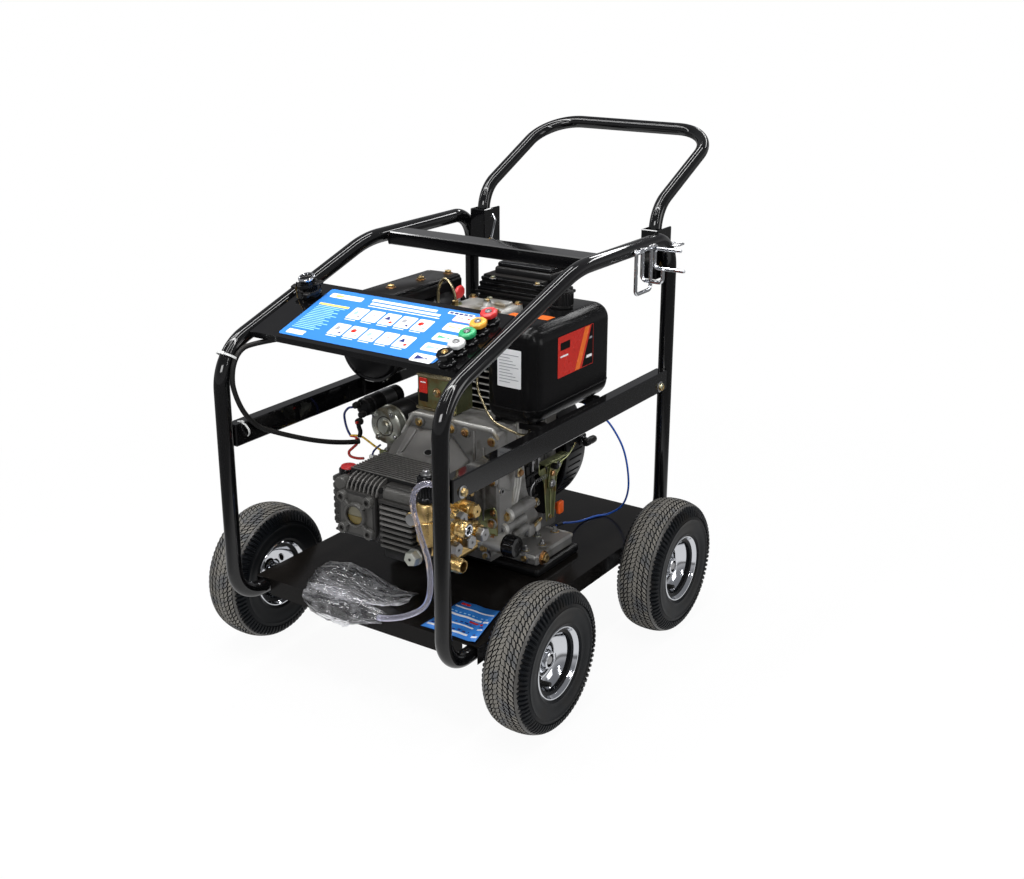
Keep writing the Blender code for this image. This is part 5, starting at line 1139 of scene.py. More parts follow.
def barrel():
    """Black finned barrel with a bright band round each fin's edge, and the head above it."""
    body = Body()
    body.add(block((-50.5, 30, 456), (50.5, 130, 574), 6), BLACK_FIN)
    for k in range(10):
        z = 456.3 + 12.5 * k
        body.add(block((-60, 20, z), (60, 140, z + 2.4), 0.9, 1), BLACK_FIN)
        outline = rounded((-61.8, 18.2), (61.8, 141.8), 12, 4)
        path = [(a, b, z + 1.2) for a, b in outline]
        body.add(swept(path, 1.35, 6, True), BRIGHT)
    body.show("barrel_fins", "chassis", ["cylinder"])
    head = Body()
    head.add(block((-64, 18, 574.6), (64, 142, 611.8), 6), CASTING)
    for k in range(3):
        z = 580 + 10.5 * k
        head.add(block((-67.5, 16.5, z), (67.5, 143.5, z + 2.8), 1, 1), BRIGHT)
    for x in (-56, 56):
        for y in (26, 134):
            head.bolt((x, y, 611.8), "Z", 14.5, DARK_STEEL, STEEL)
    head.add(rod(8.5, 20, 24, 1), STEEL, at(56, 40, 594, "X"))
    head.show("head_casting", "chassis", ["cylinder_head"])
    cover = Body()
    cover.add(block((-60, 32, 612.3), (66, 126, 620), 4, 3), BRIGHT)
    cover.add(block((-56, 36, 616), (62, 122, 640), 12, 5), BRIGHT)
    cover.turn(36, BRIGHT, at(23.1, 57.7, 637), (15, 0), (13.5, 5), (9, 6.6), (7, 15), (6, 16))
    cover.bolt((23.1, 57.7, 652.5), "Z", 11, ZINC, STEEL)
    for x, y in ((-48, 114), (54, 114), (-10, 114), (54, 43)):
        cover.turn(24, BRIGHT, at(x, y, 628), (9.5, 0), (8, 12))
        cover.bolt((x, y, 640), "Z", 11.5, ZINC, COPPER)
    cover.turn(32, OLIVE, at(-40, 52, 632.5), (13.5, 0), (13, 6), (8.5, 8), (8, 10.5))
    cover.add(block((0, 80, 638), (48, 108, 645.5), 3, 3), BRIGHT)
    cover.show("rocker_casting", "chassis", ["rocker_cover"])
    red = Body()
    outline = [(-7.5, 650), (10, 650), (20, 656), (20.5, 666), (13, 673.5), (3, 672), (-7, 664)]
    red.add(prism([(52 + a, b) for a, b in outline], "X", -43.6, -36.4, 2.2, 3), RED)
    red.add(rod(5.8, 7.5, 24, 0.8), STEEL, at(-40, 52, 643.4))
    red.show("decompression_paddle", "decompression_lever", ["decompression_lever"])


def pipes():
    route = [(-75, 40, 560), (-75, 40, 610), (-75, 39, 648), (-71, 38, 672), (-58, 37, 688), (-44, 37, 680),
        (-36, 38, 662), (-34, 38, 643.3)]
    body = Body()
    body.wire(GOLD_PIPE, route, 3, 3, 20)
    body.turn(6, ZINC, at(-34, 38, 642), (6, 0), (6.4, 1), (6.4, 8), (5.2, 9.2))
    body.add(rod(6, 9, 6), ZINC, at(-75, 40, 560))
    body.show("injection_line", "chassis", ["injection_pipe"])
    route = [(72, 40, 594), (77, 30, 596), (80, 10, 596), (80.5, -30, 582), (80.5, -52, 558), (82, -58, 536),
        (90, -64, 520), (101.5, -68, 506), (117, -73, 488), (140, -83, 479), (167, -85, 473.5), (183, -77, 466),
        (186, -58, 460), (180, -40, 459), (172, -28, 460.5), (170, -25, 469.7)]
    body = Body()
    body.wire(GOLD_PIPE, route, 4, 2.3, 16)
    body.show("return_line", "chassis", ["fuel_pipe"])


def muffler():
    body = Body()
    steps = [(-90, 30), (-88.5, 12), (-85, 4), (-78, 0), (140, 0), (147, 4), (150.5, 12), (152, 30)]
    rings = []
    for y, shrink in steps:
        ring = rounded((-204 + shrink, 512 + shrink), (-82 - shrink, 648 - shrink), 56 - shrink * 0.9, 12)
        rings.append([(x, y, z) for x, z in ring])
    body.add(loft(rings), SATIN)
    for y in (-79, 138):
        seam = [(x, y, z) for x, z in rounded((-206, 510), (-78, 652), 59, 14)]
        body.add(swept(seam, 4.6, 10, True), PAINT)
    profile = [(-184, 644), (-184, 660), (-176, 669), (-108, 671), (-100, 662), (-100, 644), (-103.5, 644),
        (-103.5, 661), (-109, 667.5), (-175, 665.5), (-180.5, 659), (-180.5, 644)]
    body.add(prism(profile, "Y", -84, 150, 0.8, 1), SATIN)
    for x, z in ((-179.5, 666), (-104.5, 666.8)):
        body.add(swept([(x, -82, z), (x, 30, z), (x, 148, z)], 2.6, 10), PAINT)
    for x, y in ((-144, -13), (-138, 70), (-127, 142)):
        body.bolt((x, y, 670), "Z", 13.5, ZINC, COPPER)
    body.add(rod(17, 40, 32, 2), SATIN, at(-106, 80, 593, "X"))
    body.add(sleeve(15, 23, 0, 4, 32), DARK_STEEL, at(-73.5, 80, 593, "X"))
    body.add(sleeve(10.5, 12.5, 0, 22, 28), DARK_STEEL, at(-145, -108, 585, "Y"))
    body.show("muffler_can", "chassis", ["muffler"])


def air_filter():
    body = Body()
    body.add(block((-68, 150, 592), (90, 258, 640), 12, 4), PLASTIC)
    body.add(block((-70, 148, 638), (92, 260, 645), 3, 2), PLASTIC)
    for k in range(3):
        inset = 2 + 2.6 * k
        z = 644 + 9.8 * k
        body.add(block((-68 + inset, 150 + inset, z), (90 - inset, 258 - inset, z + 6.8), 2.6, 3), GLOSS)
        body.add(block((-64 + inset, 154 + inset, z + 5), (86 - inset, 254 - inset, z + 11), 1), PLASTIC)
    body.add(block((-44, 178, 670), (88, 262, 688), 6, 3), PLASTIC)
    body.add(block((-40, 182, 686), (84, 258, 696.5), 8, 4), GLOSS)
    body.add(block((-30, 142.3, 586), (30, 160, 606), 3), PLASTIC)
    for x in (-30, 70):
        body.bolt((x, 154.5, 670), "Z", 10, ZINC, STEEL)
    body.show("air_filter_box", "chassis", ["air_filter_housing"])


def tank():
    low, high = ((94, -60, 470), (205, 208, 648))
    body = Body()
    body.add(block(low, high, 30, 10), TANK)
    seam = [(x, y, 502) for x, y in rounded((low[0], low[1]), (high[0], high[1]), 30, 10)]
    body.add(swept(seam, 0.9, 8, True), TANK)
    neck = at(150, 112, 636)
    body.add(turned([(13.5, 0), (20, 0), (20, 12), (16.5, 12.5), (16.5, 20), (13.5, 20)], 40, True), PLASTIC, neck)
    labels = [
        (INK_RED, "X", 205.1, 205.4, rounded((12, 547), (133, 622), 2)),
        (GROOVE, "X", 205.4, 205.5, [(94, 548), (132, 548), (132, 621), (126, 621)]),
        (INK_ORANGE, "X", 205.4, 205.6, [(70, 548), (86, 548), (120, 621), (104, 621)]),
        (INK_WHITE, "X", 205.5, 205.7, [(108, 562), (128, 562), (128, 567), (110, 567)]),
        (INK_GREY, "X", 205.5, 205.7, [(119, 596), (128, 596), (128, 600), (120.5, 600)]),
        (GROOVE, "X", 205.4, 205.6, rounded((20, 596), (52, 610), 1)),
        (INK_WHITE, "X", 205.4, 205.6, rounded((20, 583), (46, 586), 1)),
        (INK_WHITE, "Y", -60.4, -60, rounded((126.5, 541), (175.5, 610), 2)),
    ]
    for k in range(10):
        line = rounded((130.5, 599 - 5.5 * k), (170.5 - 6 * (k * 3 % 4), 600.2 - 5.5 * k), 0.4)
        labels.append((INK_GREY, "Y", -60.6, -60.4, line))
    labels.append((INK_ORANGE, "Z", 648.1, 648.4, rounded((100, 6), (122, 30), 2)))
    labels.append((INK_ORANGE, "Z", 648.1, 648.4, rounded((153, 18), (179, 44), 2)))
    for finish, axis, bottom, top, outline in labels:
        body.add(prism(outline, axis, bottom, top), finish)
    for y in (-20, 165):
        body.add(block((100, y - 12, 456), (198, y + 12, 471.2), 3), SATIN)
        body.bolt((188, y, 456), "-Z", 12, ZINC, STEEL)
    body.show("tank_shell", "chassis", ["fuel_tank"])
    cap = Body()
    spot = at(150, 112, 0)
    cap.add(turned([(17.2, 658.4), (17.2, 648.6), (20, 648.4), (21.2, 650), (21.2, 653), (20, 654), (20, 677),
        (18.5, 679), (12, 679.5), (11, 681.5), (0, 681.8), (0, 658.4)], 64), PLASTIC, spot)
    cap.ribs(24, PLASTIC, spot, (19.2, -1.1, 654.5), (21.7, 1.1, 677), 0.7)
    cap.show("tank_cap", "fuel_cap", ["fuel_cap"])


def starter():
    body = Body()
    spot = at(STARTER_X, 0, STARTER_Z, "Y")
    body.turn(56, SATIN, spot, (34.5, -76), (35.8, -74), (35.8, 36), (34, 40))
    body.turn(56, PLATED, spot, (30, -94.5), (34.5, -91.5), (35, -88), (35, -76.5), (36.2, -75.5), (36.2, -73))
    body.turn(40, PLATED, spot, (11, -101.5), (13, -100), (13.6, -96.5), (18, -94.5), (0, -94))
    body.add(sleeve(16.5, 19.5, -94.8, -93, 40), DARK_STEEL, spot)
    for k, angle in enumerate((35, 125, 215, 305)):
        turn = spin(radians(angle))
        body.turn(20, PLATED, spot @ turn @ at(29, 0, 0), (5.8, -95.5), (6.6, -94.5), (6.6, -76))
        body.turn(6 if k % 2 else 20, STEEL, spot @ turn @ at(29, 0, 0), (3.2, -99), (4, -98), (4, -95.2))
    body.add(sleeve(35.6, 36.4, -30, -24, 56), DARK_STEEL, spot)
    body.add(block((-125, 30, 385), (-70, 46, 470), 10, 4), CASTING)
    for x, z in ((-133, 418), (-72, 456)):
        body.bolt((x, 29, z), "-Y", 12.5, ZINC, STEEL)
    body.show("starter_body", "chassis", ["starter_motor"])
    coil = Body()
    spot = at(-148.4, 0, 459, "Y")
    coil.turn(48, SATIN, spot, (15, -100), (17.2, -97.5), (17.6, -86), (17, -84), (18.5, -82), (18.5, 1), (16, 3.8))
    coil.add(sleeve(18.3, 19, -52, -20, 48), STEEL, spot)
    coil.add(block((-140, -40, 440), (-124, -15, 456), 4), SATIN)
    for x, z, r in ((-154.5, 466, 4.2), (-141.5, 450, 4.2)):
        coil.add(rod(r * 0.6, 16, 16, 0.5), STEEL, at(x, -100, z, "-Y"))
        coil.add(rod(r, 3.6, 6), STEEL, at(x, -103, z, "-Y"))
        coil.turn(24, RUBBER, at(x, -106.5, z, "-Y"), (6.2, 0), (6.6, 3), (5.8, 10), (0, 10.5))
    coil.show("solenoid_body", "chassis", ["starter_solenoid"])


def leads():
    """Short leads between the loom's end, the solenoid and the connectors beside the pump."""
    runs = [
        ("blue", DARK_BLUE, 2.2, (-162, -112, 461), (-175, -110, 456), (-186, -109, 443), (-185, -109, 426),
         (-179, -110, 412), (-170, -113, 404)),
        ("red", RED_WIRE, 2.6, (-150, -120, 406), (-148, -121, 395), (-158, -120, 385), (-169, -120, 374),
         (-166, -120, 366), (-150, -120, 365), (-134, -120, 368)),
        ("yellow", YELLOW_WIRE, 2, (-170, -113, 404), (-156, -111, 406), (-143, -111, 406), (-128, -111, 400),
         (-112, -111, 393), (-100, -111, 389)),
        ("maroon", RED_WIRE, 1.5, (-170, -114, 403), (-156, -114, 403.5), (-147, -115, 402)),
        ("boot", RUBBER, 4.2, (-143, -120, 442), (-144, -119, 430), (-142, -117, 418), (-145, -117, 408)),
        ("navy", DARK_BLUE, 1.9, (-100, -111, 399), (-108, -112, 392), (-115, -113, 384), (-118, -114, 376)),
    ]
    for name, finish, radius, *points in runs:
        body = Body()
        body.wire(finish, points, 3, radius, 12)
        if name == "boot":
            body.turn(24, RUBBER, at(-143, -123, 438, "Y"), (6.5, 0), (7, 2), (7, 9), (6, 10.5))
            body.add(rod(2.4, 4, 12), RED_WIRE, at(-143, -123.5, 438, "-Y"))
        if name == "yellow":
            body.add(block((-101, -115, 379), (-86, -107, 390), 2), OLIVE)
            for k in range(2):
                body.add(rod(2.8, 10, 14, 0.8), RED, at(-99 + 8 * k, -113, 370))
        if name == "navy":
            body.add(block((-123.5, -118.5, 364), (-111.5, -110, 377), 2.2), WHITE)
        body.show(f"lead_{name}", "chassis")


def cowl():
    body = Body()
    body.add(block((-37, -83.5, 474.8), (51, -79.5, 480.5), 1.4), GOLD_PIPE)
    body.add(block((-37, -81, 536), (51, -26, 541.2), 2), GOLD_PIPE)
    body.add(block((-30.5, -81.2, 506), (-12, -80.4, 534), 0.3, 1), INK_RED)
    body.add(block((-30.5, -81.2, 490), (-12, -80.4, 505.8), 0.3, 1), GROOVE)
    body.add(block((-27, -81.6, 525), (-15, -81.1, 527), 0.2, 1), INK_WHITE)
    body.bolt((9, -80.4, 511), "-Y", 12, ZINC, COPPER)
    body.bolt((40, -80.4, 490), "-Y", 10, ZINC, STEEL)
    body.show("cowl_trim", "chassis")


def shroud():
    """Black flywheel cowl with a slotted recoil cover, its bolts and the rope's eyelet."""
    body = Body()
    spot = at(0, 150.3, CRANK_Z, "Y")
    profile = [(137, 0), (140, 0), (141.8, 1), (141.8, 6), (140, 8), (140, 68), (137.5, 76.5), (131, 81.5), (98, 83),
        (94.5, 85), (90.5, 88), (90, 106), (87, 114.5), (80, 118.5), (42, 119.5), (38, 118), (36, 115), (0, 114),
        (0, 111), (35, 111.5), (78, 115), (87, 106), (87, 79), (130, 78), (137, 69)]
    body.add(turned(profile, 96), SATIN, spot)
    for turn in turns(30):
        body.add(prism(rounded((46, -2), (78, 2), 1.9), "Z", 118.2, 119.9), GROOVE, spot @ turn)
    body.ribs(44, GROOVE, spot, (89, -1.8, 90.5), (90.8, 1.8, 105), 0.5, 1)
    body.ribs(60, GROOVE, spot, (139.2, -1.4, 16), (140.8, 1.4, 60), 0.5, 1)
    for turn in turns(6, 0.3):
        place = spot @ turn @ at(112, 0, 82.2)
        body.add(rod(10, 1.2, 24), STEEL, place)
        body.turn(6, ZINC, place, (6.8, 1.2), (6.8, 5), (5.5, 6.2))
    body.turn(48, STEEL, spot @ at(0, 0, 114.2), (24, 0), (23, 1.8), (0, 2.6))
    body.add(block((134, 200, 352), (142.5, 224, 372), 3), SATIN)
    body.add(turned([(4, 0), (7.2, 0), (7.2, 2), (4, 3)], 28, True), CHROME, at(141.8, 212, 362, "X"))
    body.show("flywheel_cowl", "chassis", ["flywheel_shroud"])
    grip = Body()
    grip.add(rod(3, 10, 16), RUBBER, at(141, 212, 362, "X"))
    grip.turn(32, PLASTIC, at(156.3, 212, 362, "Y"), (0, -18.5), (5.8, -18), (7.2, -15), (7.8, -6), (7.2, 0), (7.8, 6),
        (7.2, 15), (5.8, 18), (0, 18.5))
    grip.turn(24, PLASTIC, at(144, 212, 362, "X"), (6, 0), (5, 7.5), (0, 8))
    grip.show("recoil_handle", "recoil_grip", ["recoil_grip"])


def small_parts():
    cap = Body()
    spot = at(170.3, -98, 262, "X")
    cap.turn(48, GLOSS, spot, (19.2, 0), (20, 1.5), (20, 6), (19, 7.5), (19, 20), (17.5, 23.6), (10, 24), (9, 22.8))
    cap.ribs(16, GLOSS, spot, (18.2, -1, 8.5), (19.6, 1, 21.5), 0.5, 1)
    cap.show("filter_cap", "chassis", ["oil_filter_cap"])
    stick = Body()
    stick.turn(32, ORANGE, at(118.3, 134, 246, "X"), (8, 0), (8, 4), (7, 5), (7, 18))
    outline = [(125, 236), (128, 233), (141, 233), (144, 236), (144, 256), (141, 259), (128, 259), (125, 256)]
    stick.add(prism(outline, "X", 134.5, 142, 2.5, 3), ORANGE)
    stick.show("dipstick_cap", "dipstick", ["oil_dipstick"])


# ---------------------------------------------------------------- pump

def bell():
    """Tapered adaptor between the engine's front cover and the pump, with an oval window in its upper face."""
    def ring(y, half_x, low, high, cut):
        left = -half_x * BELL_LEFT
        return [(half_x - cut, y, high), (left + cut, y, high), (left, y, high - cut), (left, y, low + cut),
            (left + cut, y, low), (half_x - cut, y, low), (half_x, y, low + cut), (half_x, y, high - cut)]

    body = Body()
    body.add(softened(loft([ring(-105.6, 98.5, 256, 450, 40), ring(-111, 98.5, 256, 450, 40),
        ring(-164.8, 80, 270, 413, 36)]), 2.5, 2), BELL)
    slant = atan2(37, 53.8)
    face = at(40, -149, 424.2) @ spin(slant, "X")
    # The window is a near-black oval on the face, not an opening: painted shade.
    body.add(prism(oval(8.5, 6.2), "Z", -1, 0.9), GROOVE, face)
    body.add(swept([(a, b, 0.8) for a, b in oval(9, 6.7)], 1.1, 8, True), CASTING, face)
    for x in (-12, 62):
        body.add(block((x - 2.2, -26, -2), (x + 2.2, 26, 3.5), 2), CASTING, at(0, -136, 431.5) @ spin(slant, "X"))
    for side in (-BELL_LEFT, 1):
        for z in (310, 385):
            body.bolt((side * 88, -111.5, z), "-Y", 10, COPPER, ZINC)
    body.show("bell_casting", "chassis", ["bell_housing"])


def pump():
    """Dark finned pump casing with its cover, sight glass and oil cap."""
    body = Body()
    side = [(-286, 318), (-286, 403), (-165.3, 403), (-165.3, 270), (-230, 270), (-270, 292)]
    body.add(prism(side, "X", -56, 112.7, 10, 4), PUMP)
    body.add(block((-92, -260, 294), (-45, -174, 392), 14, 5), PUMP)
    body.add(block((-50, -230, 268.5), (106, -170, 276), 3), PUMP)
    # Top fins: near-black sides as painted shade in the gaps, and a pale cap on each tip as painted highlight.
    for k in range(13):
        y = -262 + 7.4 * k
        body.add(block((-43, y, 396), (101, y + 2.6, 415), 0.4), BLACK_FIN)
        body.add(block((-43, y - 0.1, 414.6), (101, y + 2.8, 416.5), 0.5), FIN_HIGHLIGHT)
    # A near-black block filling the floor between the top fins: painted shade.
    body.add(block((-46, -266, 390), (106, -166, 405.2), 3), GROOVE)
    # Thin curved fins at the front end, all in the pale fin finish: painted highlight.
    for k in range(8):
        x = -30 + 9.2 * k
        arc = [(-260, 413), (-270, 412), (-281, 407.5), (-289, 399.5), (-292.5, 390), (-292.5, 386), (-280, 386),
            (-260, 400)]
        body.add(prism(arc, "X", x, x + 3, 1, 1), FIN_HIGHLIGHT)
    # The boss and the side fins in the paler finishes, palest on the upper fins: painted highlight.
    body.add(rod(13.5, 60, 40, 3), PUMP_HIGHLIGHT, at(47.5, -277, 392, "X"))
    body.add(block((44.5, -280, 388), (109, -256, 408.5), 4, 3), PUMP)
    for k in range(8):
        z = 301 + 10 * k
        outline = rounded((44, -296), (114, -270), 4, 4)
        body.add(prism(outline, "Z", z, z + 4, 1.2, 2), FIN_HIGHLIGHT if k > 3 else PUMP_HIGHLIGHT)
    body.add(block((42.5, -295, 380), (114, -270, 386), 2), PUMP)
    # Near-black blocks behind the side fins and along the front of the top fins: painted shade on the floors of the
    # gaps.
    body.add(block((45, -289, 300), (113, -280, 380), 2), GROOVE)
    body.add(block((-34, -287.5, 392), (46, -260, 402), 4), GROOVE)
    # Front fins: the upper three in the paler finish as painted highlight, the lower ones plain.
    for k in range(7):
        z = 301 + 12.8 * k
        outline = rounded((-98.5, -256), (-70, -184), 14, 6)
        body.add(prism(outline, "Z", z, z + 5.2, 2, 3), PUMP_HIGHLIGHT if k > 3 else PUMP)
        body.add(block((-64, -285, z), (-51, -268, z + 4.8), 2.2, 3), PUMP)
    # A boss in the paler finish: painted highlight.
    body.turn(32, PUMP_HIGHLIGHT, at(-42, -287, 395, "-Y"), (12.5, -10), (12.5, 4), (10.5, 6.5))
    middle = at(-4, 0, 348, "-Y")
    body.add(prism(rounded((-41, -41), (41, 41), 12), "Z", 288, 296.5, 2, 2), PUMP, middle)
    # The cover's inner plate, bosses, spokes and rim in the paler finish: painted highlight on what stands out.
    body.add(prism(rounded((-35, -35), (35, 35), 10), "Z", 296.4, 297.2, 0.3, 1), PUMP_HIGHLIGHT, middle)
    for sx in (-1, 1):
        for sz in (-1, 1):
            place = middle @ at(sx * 28.5, sz * 29, 0)
            body.turn(32, PUMP_HIGHLIGHT, place, (10.8, 296), (9.8, 303), (8.8, 304.5), (5.2, 304.5), (4.8, 301))
            body.turn(6, DARK_STEEL, place, (4.4, 300.5), (4.4, 303.2), (3, 303.6), (2.2, 302))
            spoke = block((20, -4, 295.5), (36, 4, 303.6), 2, 3)
            body.add(spoke, PUMP_HIGHLIGHT, middle @ spin(atan2(sz * 0.029, sx * 0.0285)))
    body.add(turned([(17.8, 295.5), (23.5, 295.5), (22.2, 303.5), (21, 304.8), (18.6, 304.8), (17.8, 303)], 56, True),
        PUMP_HIGHLIGHT, middle)
    body.add(sleeve(16.6, 18, 297.5, 303, 56), DARK_STEEL, middle)
    body.turn(56, GAUGE_TOP, middle, (16.8, 297), (16.8, 298.5))
    level = [(16.6 * cos(t), 16.6 * sin(t)) for t in (radians(188) + radians(164) * k / 24 for k in range(25))]
    body.add(prism(level, "Z", 298.5, 299.6), GAUGE_LOW, middle)
    place = at(-72, -234, 0)
    body.turn(40, GLOSS, place, (15, 386), (16.5, 388.5), (16.5, 399), (15, 400.5))
    body.ribs(18, GLOSS, place, (15.5, -1.2, 389), (17.2, 1.2, 399), 0.6, 1)
    body.turn(40, RED, place, (13.8, 400), (14.4, 401.2), (13.2, 404), (9.5, 405.4), (0, 406))
    body.add(block((15, -250, 256), (90, -190, 274), 4), BLACK_FIN)
    body.show("pump_casing", "chassis", ["pump_crankcase"])


def hex_cap(body, place, radius, depth, finish):
    body.turn(6, finish, place, (radius, 0), (radius, depth * 0.85), (radius * 0.88, depth))
    body.turn(16, DARK_STEEL, place, (radius * 0.2, depth), (radius * 0.16, depth - 0.6))


def pump_head():
    """Brass manifold with valve caps, outlet, inlet and the unloader's body."""
    body = Body()
    left = 115
    body.add(prism([(-260, 290), (-160, 290), (-160, 370), (-172, 384), (-250, 384), (-260, 374)], "X", left,
        left + 15, 2, 2), BRASS)
    body.add(prism([(-260, 288), (-160, 288), (-160, 328), (-260, 328)], "X", left + 12, 156, 4, 3), BRASS)
    body.add(prism([(-260, 325), (-229, 325), (-229, 366), (-260, 366)], "X", left + 12, 156, 5, 3), BRASS)
    body.add(rod(12.5, 94, 40, 2), BRASS, at(140, -252, 279, "Y"))
    for index, y in enumerate((-249, -210, -171)):
        body.turn(40, BRASS, at(115, y, 309, "X"), (16.5, 30), (16.5, 44), (15, 46), (15, 50))
        hex_cap(body, at(164, y, 309, "X") @ spin(0.3 * index + 0.2), 13.2, 13, STEEL)
        if index:
            body.turn(40, BRASS, at(115, y, 348, "X"), (15, 12), (15, 33), (13, 35))
            hex_cap(body, at(149, y, 348, "X") @ spin(0.5 * index), 12.8, 11, STEEL if index == 1 else BRASS)
        body.turn(6, ZINC, at(130, y + 19, 370, "X"), (6.2, 0), (5.8, 6.5), (0, 7))
    outlet = at(155, -246, 348.5, "X")
    body.turn(6, STEEL, outlet, (12.5, -10), (12.5, 6), (11, 7), (11, 10))
    body.turn(48, BRASS, outlet, (10.5, 8), (12, 9.5), (12, 14), (13.8, 15.5), (15, 17.5), (15, 21.5), (13.6, 23),
        (13.6, 25), (15.2, 26.5), (15.5, 29), (15.5, 36), (14.5, 38.5), (11.8, 40), (11.2, 39), (11.2, 33))
    body.add(turned([(7, 33), (10.8, 33), (10.8, 40), (9.6, 41.2), (7.8, 41.2), (7, 40)], 40, True), CHROME, outlet)
    # A near-black disc inside the outlet: painted shade in its bore.
    body.turn(32, GROOVE, outlet, (7.1, 34), (7.1, 34.5))
    body.add(rod(2.6, 4, 20, 0.8), STEEL, outlet @ at(0, 0, 34.5))
    inlet = at(150, -249, 281, "X")
    thread = [(0, 0), (15, 0), (15, 12), (12.5, 13)]
    for k in range(8):
        thread += [(13.2, 14.5 + 2.4 * k), (12, 15.7 + 2.4 * k)]
    thread += [(11.8, 34.5), (11.2, 36), (9.2, 36), (8.8, 34), (8.8, 20), (0, 20)]
    body.add(turned(thread, 48), BRASS, inlet)
    # A near-black disc inside the inlet: painted shade in its bore.
    body.turn(32, GROOVE, inlet, (8.7, 20.5), (8.7, 21.5))
    body.turn(6, BRASS, inlet, (17.5, 0), (17.5, 10), (16, 11.5))
    plug = at(123, -279, 303, "-Y")
    body.turn(32, PUMP, plug, (12, -10), (12, 20))
    body.turn(40, STEEL, plug, (14.6, 19.5), (14.6, 21.2))
    hex_cap(body, plug @ at(0, 0, 21) @ spin(0.25), 13.6, 15, PLATED)
    spot = at(UNLOADER_X, UNLOADER_Y, 0)
    body.turn(8, BRASS, spot, (12, 322.5), (14.5, 324), (14.5, 330), (13, 332))
    body.turn(8, BRASS, spot, (17.8, 331), (17.8, 366), (16, 368), (14.5, 369))
    body.turn(44, BRASS, spot, (15, 368), (17, 370), (17.6, 373), (17.6, 396), (16, 398.5), (14, 400))
    body.add(rod(12, 30, 32, 1), BRASS, at(UNLOADER_X, -278, 336, "Y"))
    body.turn(36, BRASS, at(116, -285, 368, "-Y") @ at(0, 0, 6), (12.5, 0), (12.5, 7), (11, 8.5))
    body.turn(36, STEEL, at(116, -299, 368, "-Y"), (10.5, 0), (9.8, 3), (0, 3.6))
    body.add(rod(10, 26, 28), BRASS, at(116, -268, 368, "-Y"))
    barb = [(0, 10), (8.5, 10), (8.5, 19), (5, 19.5), (5, 21.5), (4.4, 30), (0, 30)]
    body.add(turned(barb, 28), BRASS, at(UNLOADER_X, UNLOADER_Y, 384, "X"))
    body.show("brass_head", "chassis", ["pump_head"])
    knob = Body()
    knob.turn(64, GLOSS, spot, (16, 402.3), (17, 403.5), (17, 408), (15.8, 409.8), (14.3, 411), (14.3, 443.5),
        (12.5, 447), (10, 448))
    knob.ribs(20, GLOSS, spot, (13.4, -1.3, 411.5), (15.3, 1.3, 444), 0.8)
    knob.turn(32, STEEL, spot, (9.2, 447), (9.2, 449.5), (6.2, 450.5), (5.8, 455.5), (4.5, 456.8))
    knob.show("pressure_knob_cap", "pressure_knob", ["unloader_knob"])


# ---------------------------------------------------------------- cords, bag and printed sheet

def cord(name, route, spacing, radius, finish, node, start=None, sleeved=0):
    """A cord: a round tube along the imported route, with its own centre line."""
    path = smooth(route, spacing)
    fine = smooth([start, *path] if start else path, spacing / 3)
    body = Body()
    body.add(swept(fine, radius, 20), finish)
    if sleeved:
        body.add(swept(fine[-sleeved:], radius * 1.7, 16), RUBBER)
    made = body.show(name, "chassis", [node], 60)


def cords():
    start_x = UNLOADER_X + 30.3
    route = [(start_x + 4, UNLOADER_Y, 384), (start_x + 10, -285, 386), (start_x + 17, -290, 398),
        (start_x + 14, -303, 430), (176, -317, 450), (158, -323.5, 447.5), (143.5, -324.5, 430), (140.5, -324.5, 408),
        (144.5, -323, 385), (153, -320, 350), (161.5, -314.5, 312), (162, -310.5, 264), (150, -311, 224),
        (112, -312.5, 195.5), (72, -313, 179), (50, -313, 174.5)]
    cord("drain_hose", route, 15, 5, HOSE, "bypass_hose", start=(start_x, UNLOADER_Y, 384))
    x = -212.7  # the loom lies against the hoop
    route = [(-165, -280, 632), (-190, -298, 626.5), (-206, -314, 622.5), (x, -334, 618), (x, -352, 604),
        (x, -361, 582), (x, -362, 558), (x, -355, 535), (x, -345, 513), (x, -330, 492), (-211, -308, 470),
        (-202, -282, 455), (-188, -255, 442), (-168, -226, 430), (-150, -195, 420), (-136, -165, 413),
        (-126, -140, 409)]
    cord("loom", route, 18, 4.5, RUBBER, "wiring_harness")
    low = TRAY_TOP_Z + 2.3
    route = [(150, 165, 467.5), (156, 176, 452), (172, 192, 438), (190, 211, 414), (199, 232, 385), (203, 262, 340),
        (204, 281, 290), (198, 296, 240), (180, 306, 200), (152, 304, low + 3), (132, 282, low), (122, 240, low + 2),
        (124, 196, 188), (132, 160, 202), (140, 120, 213.5)]
    cord("blue_earth_lead", route, 11, 2, BLUE_WIRE, "blue_lead", sleeved=9)


